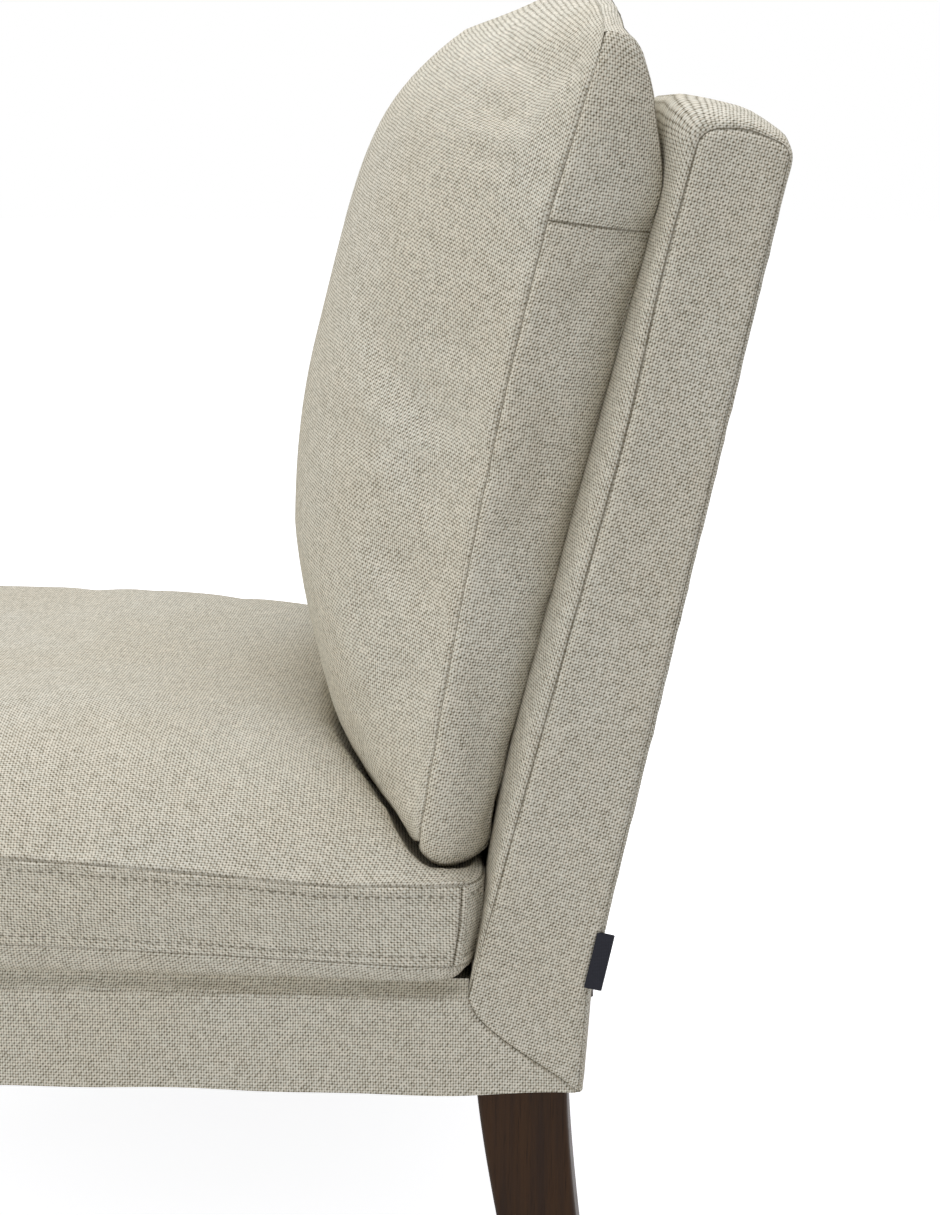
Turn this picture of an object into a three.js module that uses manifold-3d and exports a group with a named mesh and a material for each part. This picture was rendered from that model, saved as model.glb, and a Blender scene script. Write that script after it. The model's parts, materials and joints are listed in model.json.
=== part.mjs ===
// Slipper chair: an armless low chair with a fitted linen cover, a boxed seat cushion and a loose
// back cushion. Lengths are millimetres. +Z is up, the seat faces -Y, and the origin is on the
// floor under the middle of the whole chair.
import * as THREE from 'three';
import { mergeVertices } from 'three/addons/utils/BufferGeometryUtils.js';
import Module from 'manifold-3d';

const wasm = await Module();
wasm.setup();

// Clearances
const gap = 0.3; // between pieces that touch
const overrun = 20; // how far a cutter runs past what it cuts
const weldDistance = 0.0003; // points closer than this are one point

// Fitted cover, seat box
const seatWidth = 600;
const seatFrontY = -392;
const hemZ = 145;
const deckZ = 209;
const deckCrown = 6;
const deckRingShares = [0.8, 0.5];
const seatCornerRadius = 16;
const seatEdgeRadius = 5;
const coverThickness = 2;

// Fitted cover, back
const backFootFrontY = 211;
const backFootRearY = 277;
const backHipY = 281.5;
const backHipZ = 213;
const backTopZ = 732;
const backTopFall = 9.5;
const frontRake = THREE.MathUtils.degToRad(14.6);
const backTopDepth = 48.4; // of the side panel, level with its top
const topFrontRadius = 12;
const topRearRadius = 10;
const sideRoll = 45; // width over which the side panel rolls into the padded faces
const frontBulge = 18;
const topBulge = 19;
const rearBulge = 5;
const bulgeReach = 190; // height above the deck at which the inside back is fully padded
const frontHeightShares = [0, 0.12, 0.26, 0.42, 0.7, 1];
const frontArcShares = [0.4, 0.8];
const rearArcShares = [0.75, 0.35, 0];
const rearHeightShares = [0.75, 0.5, 0.25, 0];
const topMiddleShare = 0.33; // fall of the top edge at its middle
const mitreKneeY = 215;
const mitreKneeZ = 195.5;
const mitreLean = 0.9; // how far the seam leans forward above the deck

// Wooden frame
const railBottomZ = 148;
const railHeight = 44;
const railThickness = 22;
const frameInset = 8; // from the cover's face to the frame's
const postWidth = 38;
const postFootFrontY = 216;
const frontPadding = 14; // from the cover's face to a post's front
const postTopDrop = 20;
const backRailHeight = 55;
const backRailThickness = 24;
const lowerRailZ = 237;
const cornerBlockReach = 64;
const cornerBlockHeight = 40;
const cornerNoseShare = 0.3;

// Sinuous springs under the deck
const springCount = 4;
const springSideMargin = 6; // left free beside each post, outside the springs' shares of the width
const wireDiameter = 3.6;
const springWidth = 48;
const springBars = 17;
const springArch = 3.6;
const springSides = 5;
const springStepsPerBar = 6;
const clipThickness = 1;
const clipWidth = 22;
const clipBaseLength = 12;
const clipCurl = Math.PI * 1.25;
const springEndShare = 0.65; // place of the end bars across the rails, from their outer faces
const feltThickness = 2;
const dustCoverThickness = 1;
const dustNotchMargin = 18; // open space left round a leg, front and rear

// Back webbing
const webCount = 4;
const webHeight = 50;
const webThickness = 1.5;
const firstWebRise = 120; // from the deck to the middle of the lowest web, along the back
const lastWebDrop = 144.5; // from the top of the back to the middle of the highest web

// Seat cushion
const seatCushionOverhang = 8; // past the cover's side
const seatCushionHalfWidth = seatWidth / 2 + seatCushionOverhang;
const seatCushionFrontY = -400;
const seatCushionRearY = 210;
const seatCushionCornerRadius = 46;
const seatCushionCrownZ = 364;
const seatSeamTopZ = 279; // top seam at the rear
const seatSeamTopRise = 19;
const seatSeamLowZ = 232;
const seatSeamLowRise = 8.5;
const seatSideDraw = 5; // how far the sides pull in between the corners
const seamStartShare = 0.1; // where the boxing seams start to rise
const seamSpanShare = 1.3;
const seatCrownPower = 7.4;
const seatCurlPower = 60;
const seatUnderShares = [0.8, 0.95, 0.985, 1];
const seatOverShares = [1, 0.985, 0.95, 0.89, 0.8, 0.64, 0.35];
const cushionCoverThickness = 2.5;
const coreClearance = 0.8; // between a cushion's cover and its core
const nestClearance = 0.6; // between the cushions, where the back one presses into the seat

// Back cushion, measured along and square to the front seam line of the back
const backCushionOverhang = 3;
const backCushionHalfWidth = seatWidth / 2 + backCushionOverhang;
const backCushionLow = 86;
const backCushionHigh = 610;
const backCushionCornerDrop = 28;
const backCushionRearOffset = 18.6;
const backCushionCrownOffset = 213;
const ridgeLowOffset = 56;
const ridgeHighOffset = 77;
const topSeamOffset = 100;
const rearSeamOffset = 21;
const boxingTurnIn = 34; // of the rear seam at the sides
const boxingLowTurnIn = 6; // of the rear seam at the bottom
const gussetSeamRise = 467; // height at which the side boxing starts to taper to the top seam
const topBoxing = 4;
const backSideDraw = 6;
const acrossPower = 3;
const lowPower = 3; // fullness below the middle
const highPower = 4.6; // and above it
const rearPower = 6;
const backEdgeShares = [0.8, 0.6, 0.3, 0, -0.3, -0.6, -0.8];
const backRearShares = [0.55, 0.8, 0.92, 1];
const backFrontShares = [1, 0.96, 0.88, 0.76, 0.6, 0.4, 0.2];

// Zips
const seatZipLength = 400;
const backZipLength = 380;
const zipSlotHeight = 12;
const zipTapeThickness = 1;
const zipSlotDepth = 7.5;
const sliderLength = 15;
const sliderWidth = 7;
const sliderThickness = 1.6;
const sliderTabLength = 20;
const sliderTabWidth = 5;
const sliderNoseShare = 0.6;
const tabHoleShare = 0.72;

// Legs
const legTopDepth = 57;
const legTopWidth = 45;
const legFootDepth = 47;
const legFootWidth = 38;
const legInset = 12; // from the cover's side to the leg's
const legEdgeRadius = 4;
const rearLegY = 241.5;
const rearLegSweep = 18;
const sweepPower = 1.35;
const frontLegY = -350;
const glideHeight = 4;
const glideDiameter = 24;
const glideFaceShare = 0.8; // flat part of the glide's underside
const glideRimShare = 0.45; // height at which its edge is widest
const glideShankDiameter = 4;
const glideShankLength = 14;
const boltDiameter = 8;
const boltLength = 56;
const boltEdgeDistance = 12; // from a front bolt's middle to its block's edge
const boltSink = 28; // how much of the bolt is in the leg

// Tag in the rear side seam
const tagLength = 37;
const tagReach = 10;
const tagThickness = 1.2;
const tagLowZ = 215;

// Detail counts
const cornerSteps = 4;
const legSteps = 7;
const sidePoints = 6;
const rollSteps = 4;
const clipSteps = 7;
const boreSides = 16;
const boltSides = 12;
const holeSegments = 4;

const finishes = {
  linen: { color: 0xc9c1b0, roughness: 0.95, metalness: 0 },
  foam: { color: 0xe8dfb8, roughness: 0.9, metalness: 0 },
  felt: { color: 0x8d8d88, roughness: 1, metalness: 0 },
  frameWood: { color: 0xc49a63, roughness: 0.7, metalness: 0 },
  legWood: { color: 0x3a2417, roughness: 0.45, metalness: 0 },
  steel: { color: 0x9a9c9e, roughness: 0.35, metalness: 1 },
  webbing: { color: 0x2d2d30, roughness: 0.9, metalness: 0 },
  dustCloth: { color: 0x232324, roughness: 1, metalness: 0 },
  zipTape: { color: 0xb8ae9a, roughness: 0.9, metalness: 0 },
  plastic: { color: 0x4a4742, roughness: 0.6, metalness: 0 },
  tag: { color: 0x1b2030, roughness: 0.85, metalness: 0 },
};

const chair = new THREE.Group();

// Adds one named piece to the chair.
function piece(name, geometry, finish) {
  const mesh = new THREE.Mesh(geometry, new THREE.MeshStandardMaterial(finishes[finish]));
  mesh.name = name;
  chair.add(mesh);
}

// Indexed geometry of a closed surface, turned so that its faces point out.
function closedGeometry(points, triangles) {
  let volume = 0;
  for (const [a, b, c] of triangles) {
    volume += points[a].dot(new THREE.Vector3().crossVectors(points[b], points[c]));
  }
  const faces = volume < 0 ? triangles.map(([a, b, c]) => [a, c, b]) : triangles;
  const geometry = new THREE.BufferGeometry().setFromPoints(points);
  geometry.setIndex(faces.flat());
  return geometry;
}

// Quads between consecutive loops of equal length, as triangles.
function bandTriangles(loopCount, loopLength) {
  const triangles = [];
  for (let i = 0; i + 1 < loopCount; i++) {
    for (let j = 0; j < loopLength; j++) {
      const a = i * loopLength + j;
      const b = i * loopLength + ((j + 1) % loopLength);
      triangles.push([a, b, b + loopLength], [a, b + loopLength, a + loopLength]);
    }
  }
  return triangles;
}

// Loft through loops of points, with flat ends that are triangulated in the given plane.
function loftSections(loops, flatten) {
  const count = loops[0].length;
  const triangles = bandTriangles(loops.length, count);
  const outline = loops[0].map(flatten);
  const cap = THREE.ShapeUtils.triangulateShape(outline, []);
  if (THREE.ShapeUtils.isClockWise(outline)) cap.forEach((triangle) => triangle.reverse());
  const last = (loops.length - 1) * count;
  for (const [a, b, c] of cap) triangles.push([a, c, b], [last + a, last + b, last + c]);
  return closedGeometry(loops.flat(), triangles);
}

// Loft through loops that close on a point at each end.
function loftToPoles(low, loops, high) {
  const count = loops[0].length;
  const points = loops.flat();
  const triangles = bandTriangles(loops.length, count);
  const lowIndex = points.push(low) - 1;
  const highIndex = points.push(high) - 1;
  const last = (loops.length - 1) * count;
  for (let j = 0; j < count; j++) {
    const next = (j + 1) % count;
    triangles.push([lowIndex, next, j], [highIndex, last + j, last + next]);
  }
  return closedGeometry(points, triangles);
}

function toSolid(geometry) {
  const bare = new THREE.BufferGeometry();
  bare.setAttribute('position', geometry.getAttribute('position'));
  if (geometry.index) bare.setIndex(geometry.index);
  const merged = mergeVertices(bare, weldDistance);
  return new wasm.Manifold(new wasm.Mesh({
    numProp: 3,
    vertProperties: new Float32Array(merged.getAttribute('position').array),
    triVerts: new Uint32Array(merged.index.array),
  }));
}

function toGeometry(solid) {
  const { numProp, vertProperties, triVerts } = solid.getMesh();
  const positions = [];
  for (let i = 0; i < vertProperties.length; i += numProp) {
    positions.push(vertProperties[i], vertProperties[i + 1], vertProperties[i + 2]);
  }
  const geometry = new THREE.BufferGeometry();
  geometry.setAttribute('position', new THREE.Float32BufferAttribute(positions, 3));
  geometry.setIndex([...triVerts]);
  geometry.computeVertexNormals();
  return geometry;
}

// Box between two corners, each [x, y, z].
function boxBetween(low, high) {
  const size = high.map((value, i) => value - low[i]);
  const geometry = new THREE.BoxGeometry(...size);
  geometry.translate(...low.map((value, i) => value + size[i] / 2));
  return geometry;
}

// Outline in Y and Z, carried along X from lowX to highX.
function extrudeAlongX(outline, lowX, highX) {
  const shape = new THREE.Shape(outline.map(([y, z]) => new THREE.Vector2(y, z)));
  const geometry = new THREE.ExtrudeGeometry(shape, { depth: highX - lowX, bevelEnabled: false });
  const toWorld = new THREE.Matrix4().makeBasis(
    new THREE.Vector3(0, 1, 0), new THREE.Vector3(0, 0, 1), new THREE.Vector3(1, 0, 0),
  );
  return geometry.applyMatrix4(toWorld).translate(lowX, 0, 0);
}

// Rounded rectangle with its sides drawn in between the corners, anticlockwise from +X.
function roundedRectangle(halfX, halfY, radius, drawX = 0) {
  const points = [];
  const corners = [[1, 1], [-1, 1], [-1, -1], [1, -1]];
  corners.forEach(([signX, signY], quarter) => {
    for (let step = 0; step <= cornerSteps; step++) {
      const angle = (quarter + step / cornerSteps) * Math.PI / 2;
      const x = signX * (halfX - radius) + radius * Math.cos(angle);
      const y = signY * (halfY - radius) + radius * Math.sin(angle);
      points.push([x, y]);
    }
    const horizontal = quarter % 2 === 0;
    for (let step = 1; step < sidePoints; step++) {
      const share = 1 - 2 * step / sidePoints;
      const inward = 1 - share ** 2;
      if (horizontal) points.push([signX * share * (halfX - radius), signY * halfY]);
      else points.push([signX * (halfX - drawX * inward), signY * share * (halfY - radius)]);
    }
  });
  return points;
}

// Side view of the back

function frontLineY(z) {
  return backFootFrontY + Math.max(z - deckZ, 0) * Math.tan(frontRake);
}

const rearTopY = frontLineY(backTopZ) + backTopDepth;
const rearRake = Math.atan((rearTopY - backHipY) / (backTopZ - backHipZ));

function rearLineY(z) {
  if (z >= backHipZ) return backHipY + (z - backHipZ) * Math.tan(rearRake);
  const share = (z - hemZ) / (backHipZ - hemZ);
  return backFootRearY + (backHipY - backFootRearY) * Math.max(share, 0);
}

// Share of the padding's full bulge at a height on the inside back.
function paddingShare(z) {
  const share = THREE.MathUtils.clamp((z - deckZ) / bulgeReach, 0, 1);
  return Math.sin(share * Math.PI / 2);
}

// The side panel's outline from its lower front corner, as { y, z, bulge }.
function backOutline(bottomZ) {
  const points = [{ y: backFootFrontY, z: bottomZ, bulge: 0 }];
  const frontTopZ = backTopZ - topFrontRadius;
  for (const share of frontHeightShares) {
    const z = deckZ + share * (frontTopZ - deckZ);
    points.push({ y: frontLineY(z), z, bulge: frontBulge * paddingShare(z) });
  }
  const frontArcY = frontLineY(frontTopZ) + topFrontRadius;
  for (const share of frontArcShares) {
    const angle = Math.PI - share * Math.PI / 2;
    points.push({
      y: frontArcY + topFrontRadius * Math.cos(angle),
      z: frontTopZ + topFrontRadius * Math.sin(angle),
      bulge: topBulge,
    });
  }
  const rearTopZ = backTopZ - backTopFall - topRearRadius;
  const rearArcY = rearLineY(rearTopZ) - topRearRadius;
  const middleY = (frontArcY + rearArcY) / 2;
  points.push({ y: middleY, z: backTopZ - backTopFall * topMiddleShare, bulge: topBulge });
  for (const share of rearArcShares) {
    const angle = share * Math.PI / 2;
    points.push({
      y: rearArcY + topRearRadius * Math.cos(angle),
      z: rearTopZ + topRearRadius * Math.sin(angle),
      bulge: THREE.MathUtils.lerp(rearBulge, topBulge, share),
    });
  }
  for (const share of rearHeightShares) {
    const z = backHipZ + share * (rearTopZ - backHipZ);
    points.push({ y: rearLineY(z), z, bulge: rearBulge });
  }
  points.push({ y: backFootRearY, z: bottomZ, bulge: rearBulge });
  return points;
}

// Moves each corner of a closed outline outward by its own distance.
function offsetOutline(points, distances) {
  return points.map((point, i) => {
    const before = points[(i + points.length - 1) % points.length];
    const after = points[(i + 1) % points.length];
    const into = new THREE.Vector2(point.y - before.y, point.z - before.z).normalize();
    const out = new THREE.Vector2(after.y - point.y, after.z - point.z).normalize();
    const normal = new THREE.Vector2(-(into.y + out.y), into.x + out.x).normalize();
    const miter = Math.max(normal.dot(new THREE.Vector2(-into.y, into.x)), Math.SQRT1_2);
    return { y: point.y + normal.x * distances[i] / miter, z: point.z + normal.y * distances[i] / miter };
  });
}

// Padded form of the back, drawn in by inset on every face.
function backForm(inset, bottomZ) {
  const outline = backOutline(bottomZ);
  const stations = [];
  for (let step = 0; step <= rollSteps; step++) {
    const angle = step / rollSteps * Math.PI / 2;
    const x = seatWidth / 2 - sideRoll + (sideRoll - inset) * Math.cos(angle);
    stations.push({ x, share: Math.sin(angle) });
  }
  const mirrored = stations.map(({ x, share }) => ({ x: -x, share })).reverse();
  const all = [...stations, ...mirrored];
  const loops = all.map(({ x, share }) => {
    const distances = outline.map(({ bulge }) => bulge * share - inset);
    return offsetOutline(outline, distances).map(({ y, z }) => new THREE.Vector3(x, y, z));
  });
  return toSolid(loftSections(loops, (point) => new THREE.Vector2(point.y, point.z)));
}

// Rounded box form of the seat with its crowned deck, drawn in by inset.
function seatForm(inset, bottomZ) {
  const halfX = seatWidth / 2 - inset;
  const halfY = (backFootRearY - seatFrontY) / 2 - inset;
  const middleY = (backFootRearY + seatFrontY) / 2;
  const top = deckZ - inset;
  const edge = seatEdgeRadius;
  const diagonal = edge * Math.SQRT1_2;
  const level = (drawIn, z, scale = 1) => {
    const radius = seatCornerRadius - inset;
    return roundedRectangle(halfX - drawIn, halfY - drawIn, radius)
      .map(([x, y]) => new THREE.Vector3(x * scale, middleY + y * scale, z));
  };
  const crownAt = (scale) => top + deckCrown * (1 - scale ** 2);
  const loops = [
    level(0, bottomZ), level(0, top - edge), level(edge - diagonal, top - edge + diagonal),
    level(edge, top), ...deckRingShares.map((share) => level(edge, crownAt(share), share)),
  ];
  const low = new THREE.Vector3(0, middleY, bottomZ);
  const high = new THREE.Vector3(0, middleY, crownAt(0));
  return toSolid(loftToPoles(low, loops, high));
}

// Space on the seat's side of the mitre seam, moved by clearance away from the seat.
function seatZone(clearance) {
  const meetZ = deckZ + seatEdgeRadius;
  const outline = [
    [seatFrontY - overrun, hemZ - overrun],
    [backFootRearY + overrun + clearance, hemZ - overrun],
    [backFootRearY + clearance, hemZ],
    [mitreKneeY + clearance, mitreKneeZ + clearance],
    [backFootFrontY + clearance, meetZ],
    [backFootFrontY - mitreLean + clearance, deckZ + deckCrown + overrun],
    [seatFrontY - overrun, deckZ + deckCrown + overrun],
  ];
  const reach = seatWidth / 2 + overrun;
  return toSolid(extrudeAlongX(outline, -reach, reach));
}

// Takes away what lies below a level.
function trimBelow(solid, z) {
  const reach = seatWidth;
  return solid.subtract(toSolid(boxBetween([-reach, -reach, z - reach], [reach, reach, z])));
}

// Outline of a back post, inset from the cover: foot, hip and raked shaft.
function postOutline(clearance, frontClearance = clearance) {
  const topZ = backTopZ - postTopDrop;
  const kneeZ = railBottomZ + railHeight;
  const rear = (z) => rearLineY(z) - frameInset + clearance;
  const front = (z) => frontLineY(z) + frontPadding - frontClearance;
  const footFront = postFootFrontY - frontClearance;
  return [
    [footFront, railBottomZ], [footFront, kneeZ], [front(deckZ + bulgeReach / 2), deckZ + bulgeReach / 2],
    [front(topZ), topZ + frontClearance], [rear(topZ - backTopFall), topZ - backTopFall + clearance],
    [rear(backHipZ), backHipZ], [rear(railBottomZ), railBottomZ],
  ];
}

const sideRailOuterX = seatWidth / 2 - frameInset;
const postInnerX = sideRailOuterX - postWidth;
const railTopZ = railBottomZ + railHeight;
const frontRailY = seatFrontY + frameInset;
const rearRailRearY = backFootRearY - frameInset - gap;
const rearRailFrontY = rearRailRearY - railThickness;

function makeSeatFrame() {
  const sideLow = frontRailY;
  const sideHigh = postFootFrontY - gap;
  const innerX = sideRailOuterX - railThickness;
  for (const [name, side] of [['seat_left_rail', -1], ['seat_right_rail', 1]]) {
    const xs = [side * innerX, side * sideRailOuterX].sort((a, b) => a - b);
    piece(name, boxBetween([xs[0], sideLow, railBottomZ], [xs[1], sideHigh, railTopZ]), 'frameWood');
  }
  const frontReach = innerX - gap;
  piece('seat_front_rail', boxBetween(
    [-frontReach, frontRailY, railBottomZ], [frontReach, frontRailY + railThickness, railTopZ],
  ), 'frameWood');
  const rearReach = postInnerX - gap;
  piece('seat_rear_rail', boxBetween(
    [-rearReach, rearRailFrontY, railBottomZ], [rearReach, rearRailRearY, railTopZ],
  ), 'frameWood');
}

const boltX = sideRailOuterX - railThickness - gap - boltEdgeDistance;
const rearBoltX = sideRailOuterX - postWidth / 2;

// Cylinder standing on lowZ.
function cylinderUp(diameter, x, y, lowZ, highZ, sides = boreSides) {
  const geometry = new THREE.CylinderGeometry(diameter / 2, diameter / 2, highZ - lowZ, sides);
  return geometry.rotateX(Math.PI / 2).translate(x, y, (lowZ + highZ) / 2);
}

// Bolts stand half in the leg and half in the block or post above it.
function boltBore(x, y) {
  const low = railBottomZ - boltSink - gap * 2;
  const high = low + boltLength + gap * 2;
  return toSolid(cylinderUp(boltDiameter + 2 * gap, x, y, low, high));
}

// Triangular blocks with a cut-off nose, glued in the corners of the seat frame.
function makeCornerBlocks() {
  const innerX = sideRailOuterX - railThickness - gap;
  const places = [
    ['corner_block_front_left', -innerX, frontRailY + railThickness + gap, 1, 1],
    ['corner_block_front_right', innerX, frontRailY + railThickness + gap, -1, 1],
    ['corner_block_rear_left', -(postInnerX - gap), rearRailFrontY - gap, 1, -1],
    ['corner_block_rear_right', postInnerX - gap, rearRailFrontY - gap, -1, -1],
  ];
  for (const [name, x, y, towardX, towardY] of places) {
    const nose = cornerBlockReach * cornerNoseShare;
    const outline = [
      [0, 0], [cornerBlockReach, 0], [cornerBlockReach, nose], [nose, cornerBlockReach],
      [0, cornerBlockReach],
    ];
    const shape = new THREE.Shape(outline.map(([across, along]) => new THREE.Vector2(
      x + towardX * across, y + towardY * along,
    )));
    const geometry = new THREE.ExtrudeGeometry(shape, { depth: cornerBlockHeight, bevelEnabled: false });
    geometry.translate(0, 0, railBottomZ);
    let solid = toSolid(geometry);
    if (towardY > 0) solid = solid.subtract(boltBore(Math.sign(x) * boltX, frontLegY));
    piece(name, toGeometry(solid), 'frameWood');
  }
}

function makeBackFrame() {
  for (const [name, side] of [['back_left_post', -1], ['back_right_post', 1]]) {
    const xs = [side * postInnerX, side * sideRailOuterX].sort((a, b) => a - b);
    const post = toSolid(extrudeAlongX(postOutline(0), xs[0], xs[1]));
    piece(name, toGeometry(post.subtract(boltBore(side * rearBoltX, rearLegY))), 'frameWood');
  }
  const reach = postInnerX - gap;
  const topZ = backTopZ - postTopDrop - backTopFall;
  const rails = [['back_top_rail', topZ - backRailHeight], ['back_lower_rail', lowerRailZ]];
  for (const [name, lowZ] of rails) {
    const highZ = lowZ + backRailHeight;
    const front = (z) => frontLineY(z) + frontPadding;
    const outline = [
      [front(lowZ), lowZ], [front(highZ), highZ],
      [front(highZ) + backRailThickness, highZ], [front(lowZ) + backRailThickness, lowZ],
    ];
    piece(name, extrudeAlongX(outline, -reach, reach), 'frameWood');
  }
}

// Elastic webs stretched across the fronts of the posts.
function makeBackWebs() {
  const backRise = (backTopZ - deckZ) / Math.cos(frontRake);
  const webPitch = (backRise - firstWebRise - lastWebDrop) / (webCount - 1);
  for (let i = 0; i < webCount; i++) {
    const lowRise = firstWebRise + i * webPitch - webHeight / 2;
    const at = (rise, offset) => {
      const y = backFootFrontY + rise * Math.sin(frontRake) - offset * Math.cos(frontRake);
      return [y, deckZ + rise * Math.cos(frontRake) + offset * Math.sin(frontRake)];
    };
    const seat = gap - frontPadding * Math.cos(frontRake);
    const outline = [
      at(lowRise, seat), at(lowRise + webHeight, seat),
      at(lowRise + webHeight, seat + webThickness), at(lowRise, seat + webThickness),
    ];
    const web = extrudeAlongX(outline, -sideRailOuterX, sideRailOuterX);
    piece(`back_web_${i + 1}`, web, 'webbing');
  }
}

const wireRadius = wireDiameter / 2;
const clipBaseZ = railTopZ + gap;
const wireEndZ = clipBaseZ + clipThickness + gap + wireRadius;
const springFrontY = frontRailY + railThickness * springEndShare;
const springRearY = rearRailRearY - railThickness * springEndShare;
const springTurn = (springRearY - springFrontY) / (springBars - 1) / 2;
const springStraight = springWidth / 2 - springTurn;

// Centre line of one zigzag spring: bars across X joined by round turns, arched between its ends.
function springPath(centreX) {
  const lengthY = springRearY - springFrontY;
  const points = [];
  const add = (x, y) => {
    const share = (y - springFrontY) / lengthY;
    const z = wireEndZ + springArch * Math.sin(share * Math.PI);
    points.push(new THREE.Vector3(centreX + x, y, z));
  };
  for (let bar = 0; bar < springBars; bar++) {
    const side = bar % 2 === 0 ? 1 : -1;
    const y = springFrontY + bar * 2 * springTurn;
    add(-side * (bar === 0 ? springWidth / 2 : springStraight), y);
    if (bar === springBars - 1) {
      add(side * springWidth / 2, y);
      break;
    }
    for (let step = 0; step < springStepsPerBar - 1; step++) {
      const angle = -Math.PI / 2 + step / (springStepsPerBar - 1) * Math.PI;
      const x = springStraight + springTurn * Math.cos(angle);
      add(side * x, y + springTurn * (1 + Math.sin(angle)));
    }
  }
  return points;
}

// Tube of a few sides through a list of points, with flat ends.
function tubeThrough(points, radius, sides) {
  const loops = points.map((point, i) => {
    const before = points[Math.max(i - 1, 0)];
    const after = points[Math.min(i + 1, points.length - 1)];
    const along = new THREE.Vector3().subVectors(after, before).normalize();
    const up = new THREE.Vector3(0, 0, 1);
    const across = new THREE.Vector3().crossVectors(up, along).normalize();
    const normal = new THREE.Vector3().crossVectors(along, across);
    const loop = [];
    for (let side = 0; side < sides; side++) {
      const angle = side / sides * Math.PI * 2;
      loop.push(point.clone()
        .addScaledVector(across, radius * Math.cos(angle))
        .addScaledVector(normal, radius * Math.sin(angle)));
    }
    return loop;
  });
  return loftToPoles(points[0], loops, points[points.length - 1]);
}

// Clip seen from the side: a base on the rail that curls up round the spring's end bar.
function clipOutline(centreY, outward) {
  const inner = wireRadius + gap;
  const outer = inner + clipThickness;
  const startAngle = -Math.PI / 2;
  const points = [[clipBaseLength, -outer], [clipBaseLength, -inner]];
  for (let i = 0; i <= clipSteps; i++) {
    const angle = startAngle - clipCurl * i / clipSteps;
    points.push([inner * Math.cos(angle), inner * Math.sin(angle)]);
  }
  for (let i = clipSteps; i >= 0; i--) {
    const angle = startAngle - clipCurl * i / clipSteps;
    points.push([outer * Math.cos(angle), outer * Math.sin(angle)]);
  }
  return points.map(([y, z]) => [centreY + outward * y, wireEndZ + z]);
}

function makeSprings() {
  const springSpacing = 2 * (postInnerX - springSideMargin) / springCount;
  const firstX = -springSpacing * (springCount - 1) / 2;
  for (let i = 0; i < springCount; i++) {
    const x = firstX + i * springSpacing;
    const spring = tubeThrough(springPath(x), wireRadius, springSides);
    piece(`seat_spring_${i + 1}`, spring, 'steel');
    const barMiddle = (springWidth / 2 - springStraight) / 2;
    const ends = [['front', springFrontY, -1], ['rear', springRearY, 1]];
    for (const [end, y, outward] of ends) {
      const middle = x + outward * barMiddle;
      const outline = clipOutline(y, outward);
      const clip = extrudeAlongX(outline, middle - clipWidth / 2, middle + clipWidth / 2);
      piece(`spring_clip_${end}_${i + 1}`, clip, 'steel');
    }
  }
}

const springTopZ = wireEndZ + springArch + wireRadius;
const feltLowZ = springTopZ + gap;
const cavityTopZ = feltLowZ + feltThickness + gap;
const feltReachX = sideRailOuterX - railThickness - gap;

function makeSeatPadding() {
  const feltRear = backFootFrontY - coverThickness - gap * 2;
  const feltFront = frontRailY + gap;
  piece('spring_insulator', boxBetween(
    [-feltReachX + gap, feltFront + gap, feltLowZ],
    [feltReachX - gap, feltRear, feltLowZ + feltThickness],
  ), 'felt');

  const inset = coverThickness + gap;
  const railSpace = toSolid(boxBetween(
    [-sideRailOuterX - gap, frontRailY - gap, hemZ - overrun],
    [sideRailOuterX + gap, backFootRearY + overrun, railTopZ + gap],
  ));
  const springSpace = toSolid(boxBetween(
    [-feltReachX, feltFront, railTopZ], [feltReachX, backFootRearY + overrun, cavityTopZ],
  ));
  const pad = seatForm(inset, railBottomZ)
    .subtract(railSpace)
    .subtract(springSpace)
    .intersect(seatZone(-inset));
  piece('seat_deck_pad', toGeometry(pad), 'foam');
}

function makeSeatCover() {
  const shell = seatForm(0, hemZ).subtract(seatForm(coverThickness, hemZ - overrun));
  piece('seat_cover', toGeometry(shell.intersect(seatZone(-gap / 2))), 'linen');
}

// Space taken by the back frame and its webs.
function backFrameSpace() {
  const outline = postOutline(gap, gap * 2 + webThickness);
  outline[0][1] = hemZ - overrun;
  outline[outline.length - 1][1] = hemZ - overrun;
  const reach = sideRailOuterX + gap;
  return toSolid(extrudeAlongX(outline, -reach, reach));
}

// Half-space in front of the posts' front faces, moved forward by clearance.
function frontOfPosts(clearance) {
  const highZ = backTopZ + topBulge + overrun;
  const lowZ = deckZ + seatEdgeRadius + gap;
  const front = (z) => frontLineY(z) + frontPadding - clearance;
  const outline = [
    [backFootFrontY - frontBulge - overrun, lowZ], [front(lowZ), lowZ],
    [front(highZ), highZ], [backFootFrontY - frontBulge - overrun, highZ],
  ];
  const reach = seatWidth / 2 + overrun;
  return toSolid(extrudeAlongX(outline, -reach, reach));
}

function makeBackPadding() {
  const inset = coverThickness + gap;
  const form = trimBelow(backForm(inset, hemZ - overrun), railBottomZ);
  const hood = form.subtract(backFrameSpace());
  const foam = hood.intersect(frontOfPosts(gap * 2 + webThickness));
  piece('back_foam', toGeometry(foam), 'foam');

  // The wadding has no front below the deck, where the springs pass.
  const belowDeck = toSolid(boxBetween(
    [-sideRailOuterX - gap, backFootFrontY - overrun, hemZ - overrun],
    [sideRailOuterX + gap, postFootFrontY + overrun, deckZ + bulgeReach / 2],
  ));
  const wadding = hood
    .subtract(frontOfPosts(webThickness + gap))
    .subtract(belowDeck)
    .subtract(seatZone(inset));
  piece('back_wadding', toGeometry(wadding), 'felt');
}

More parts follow.
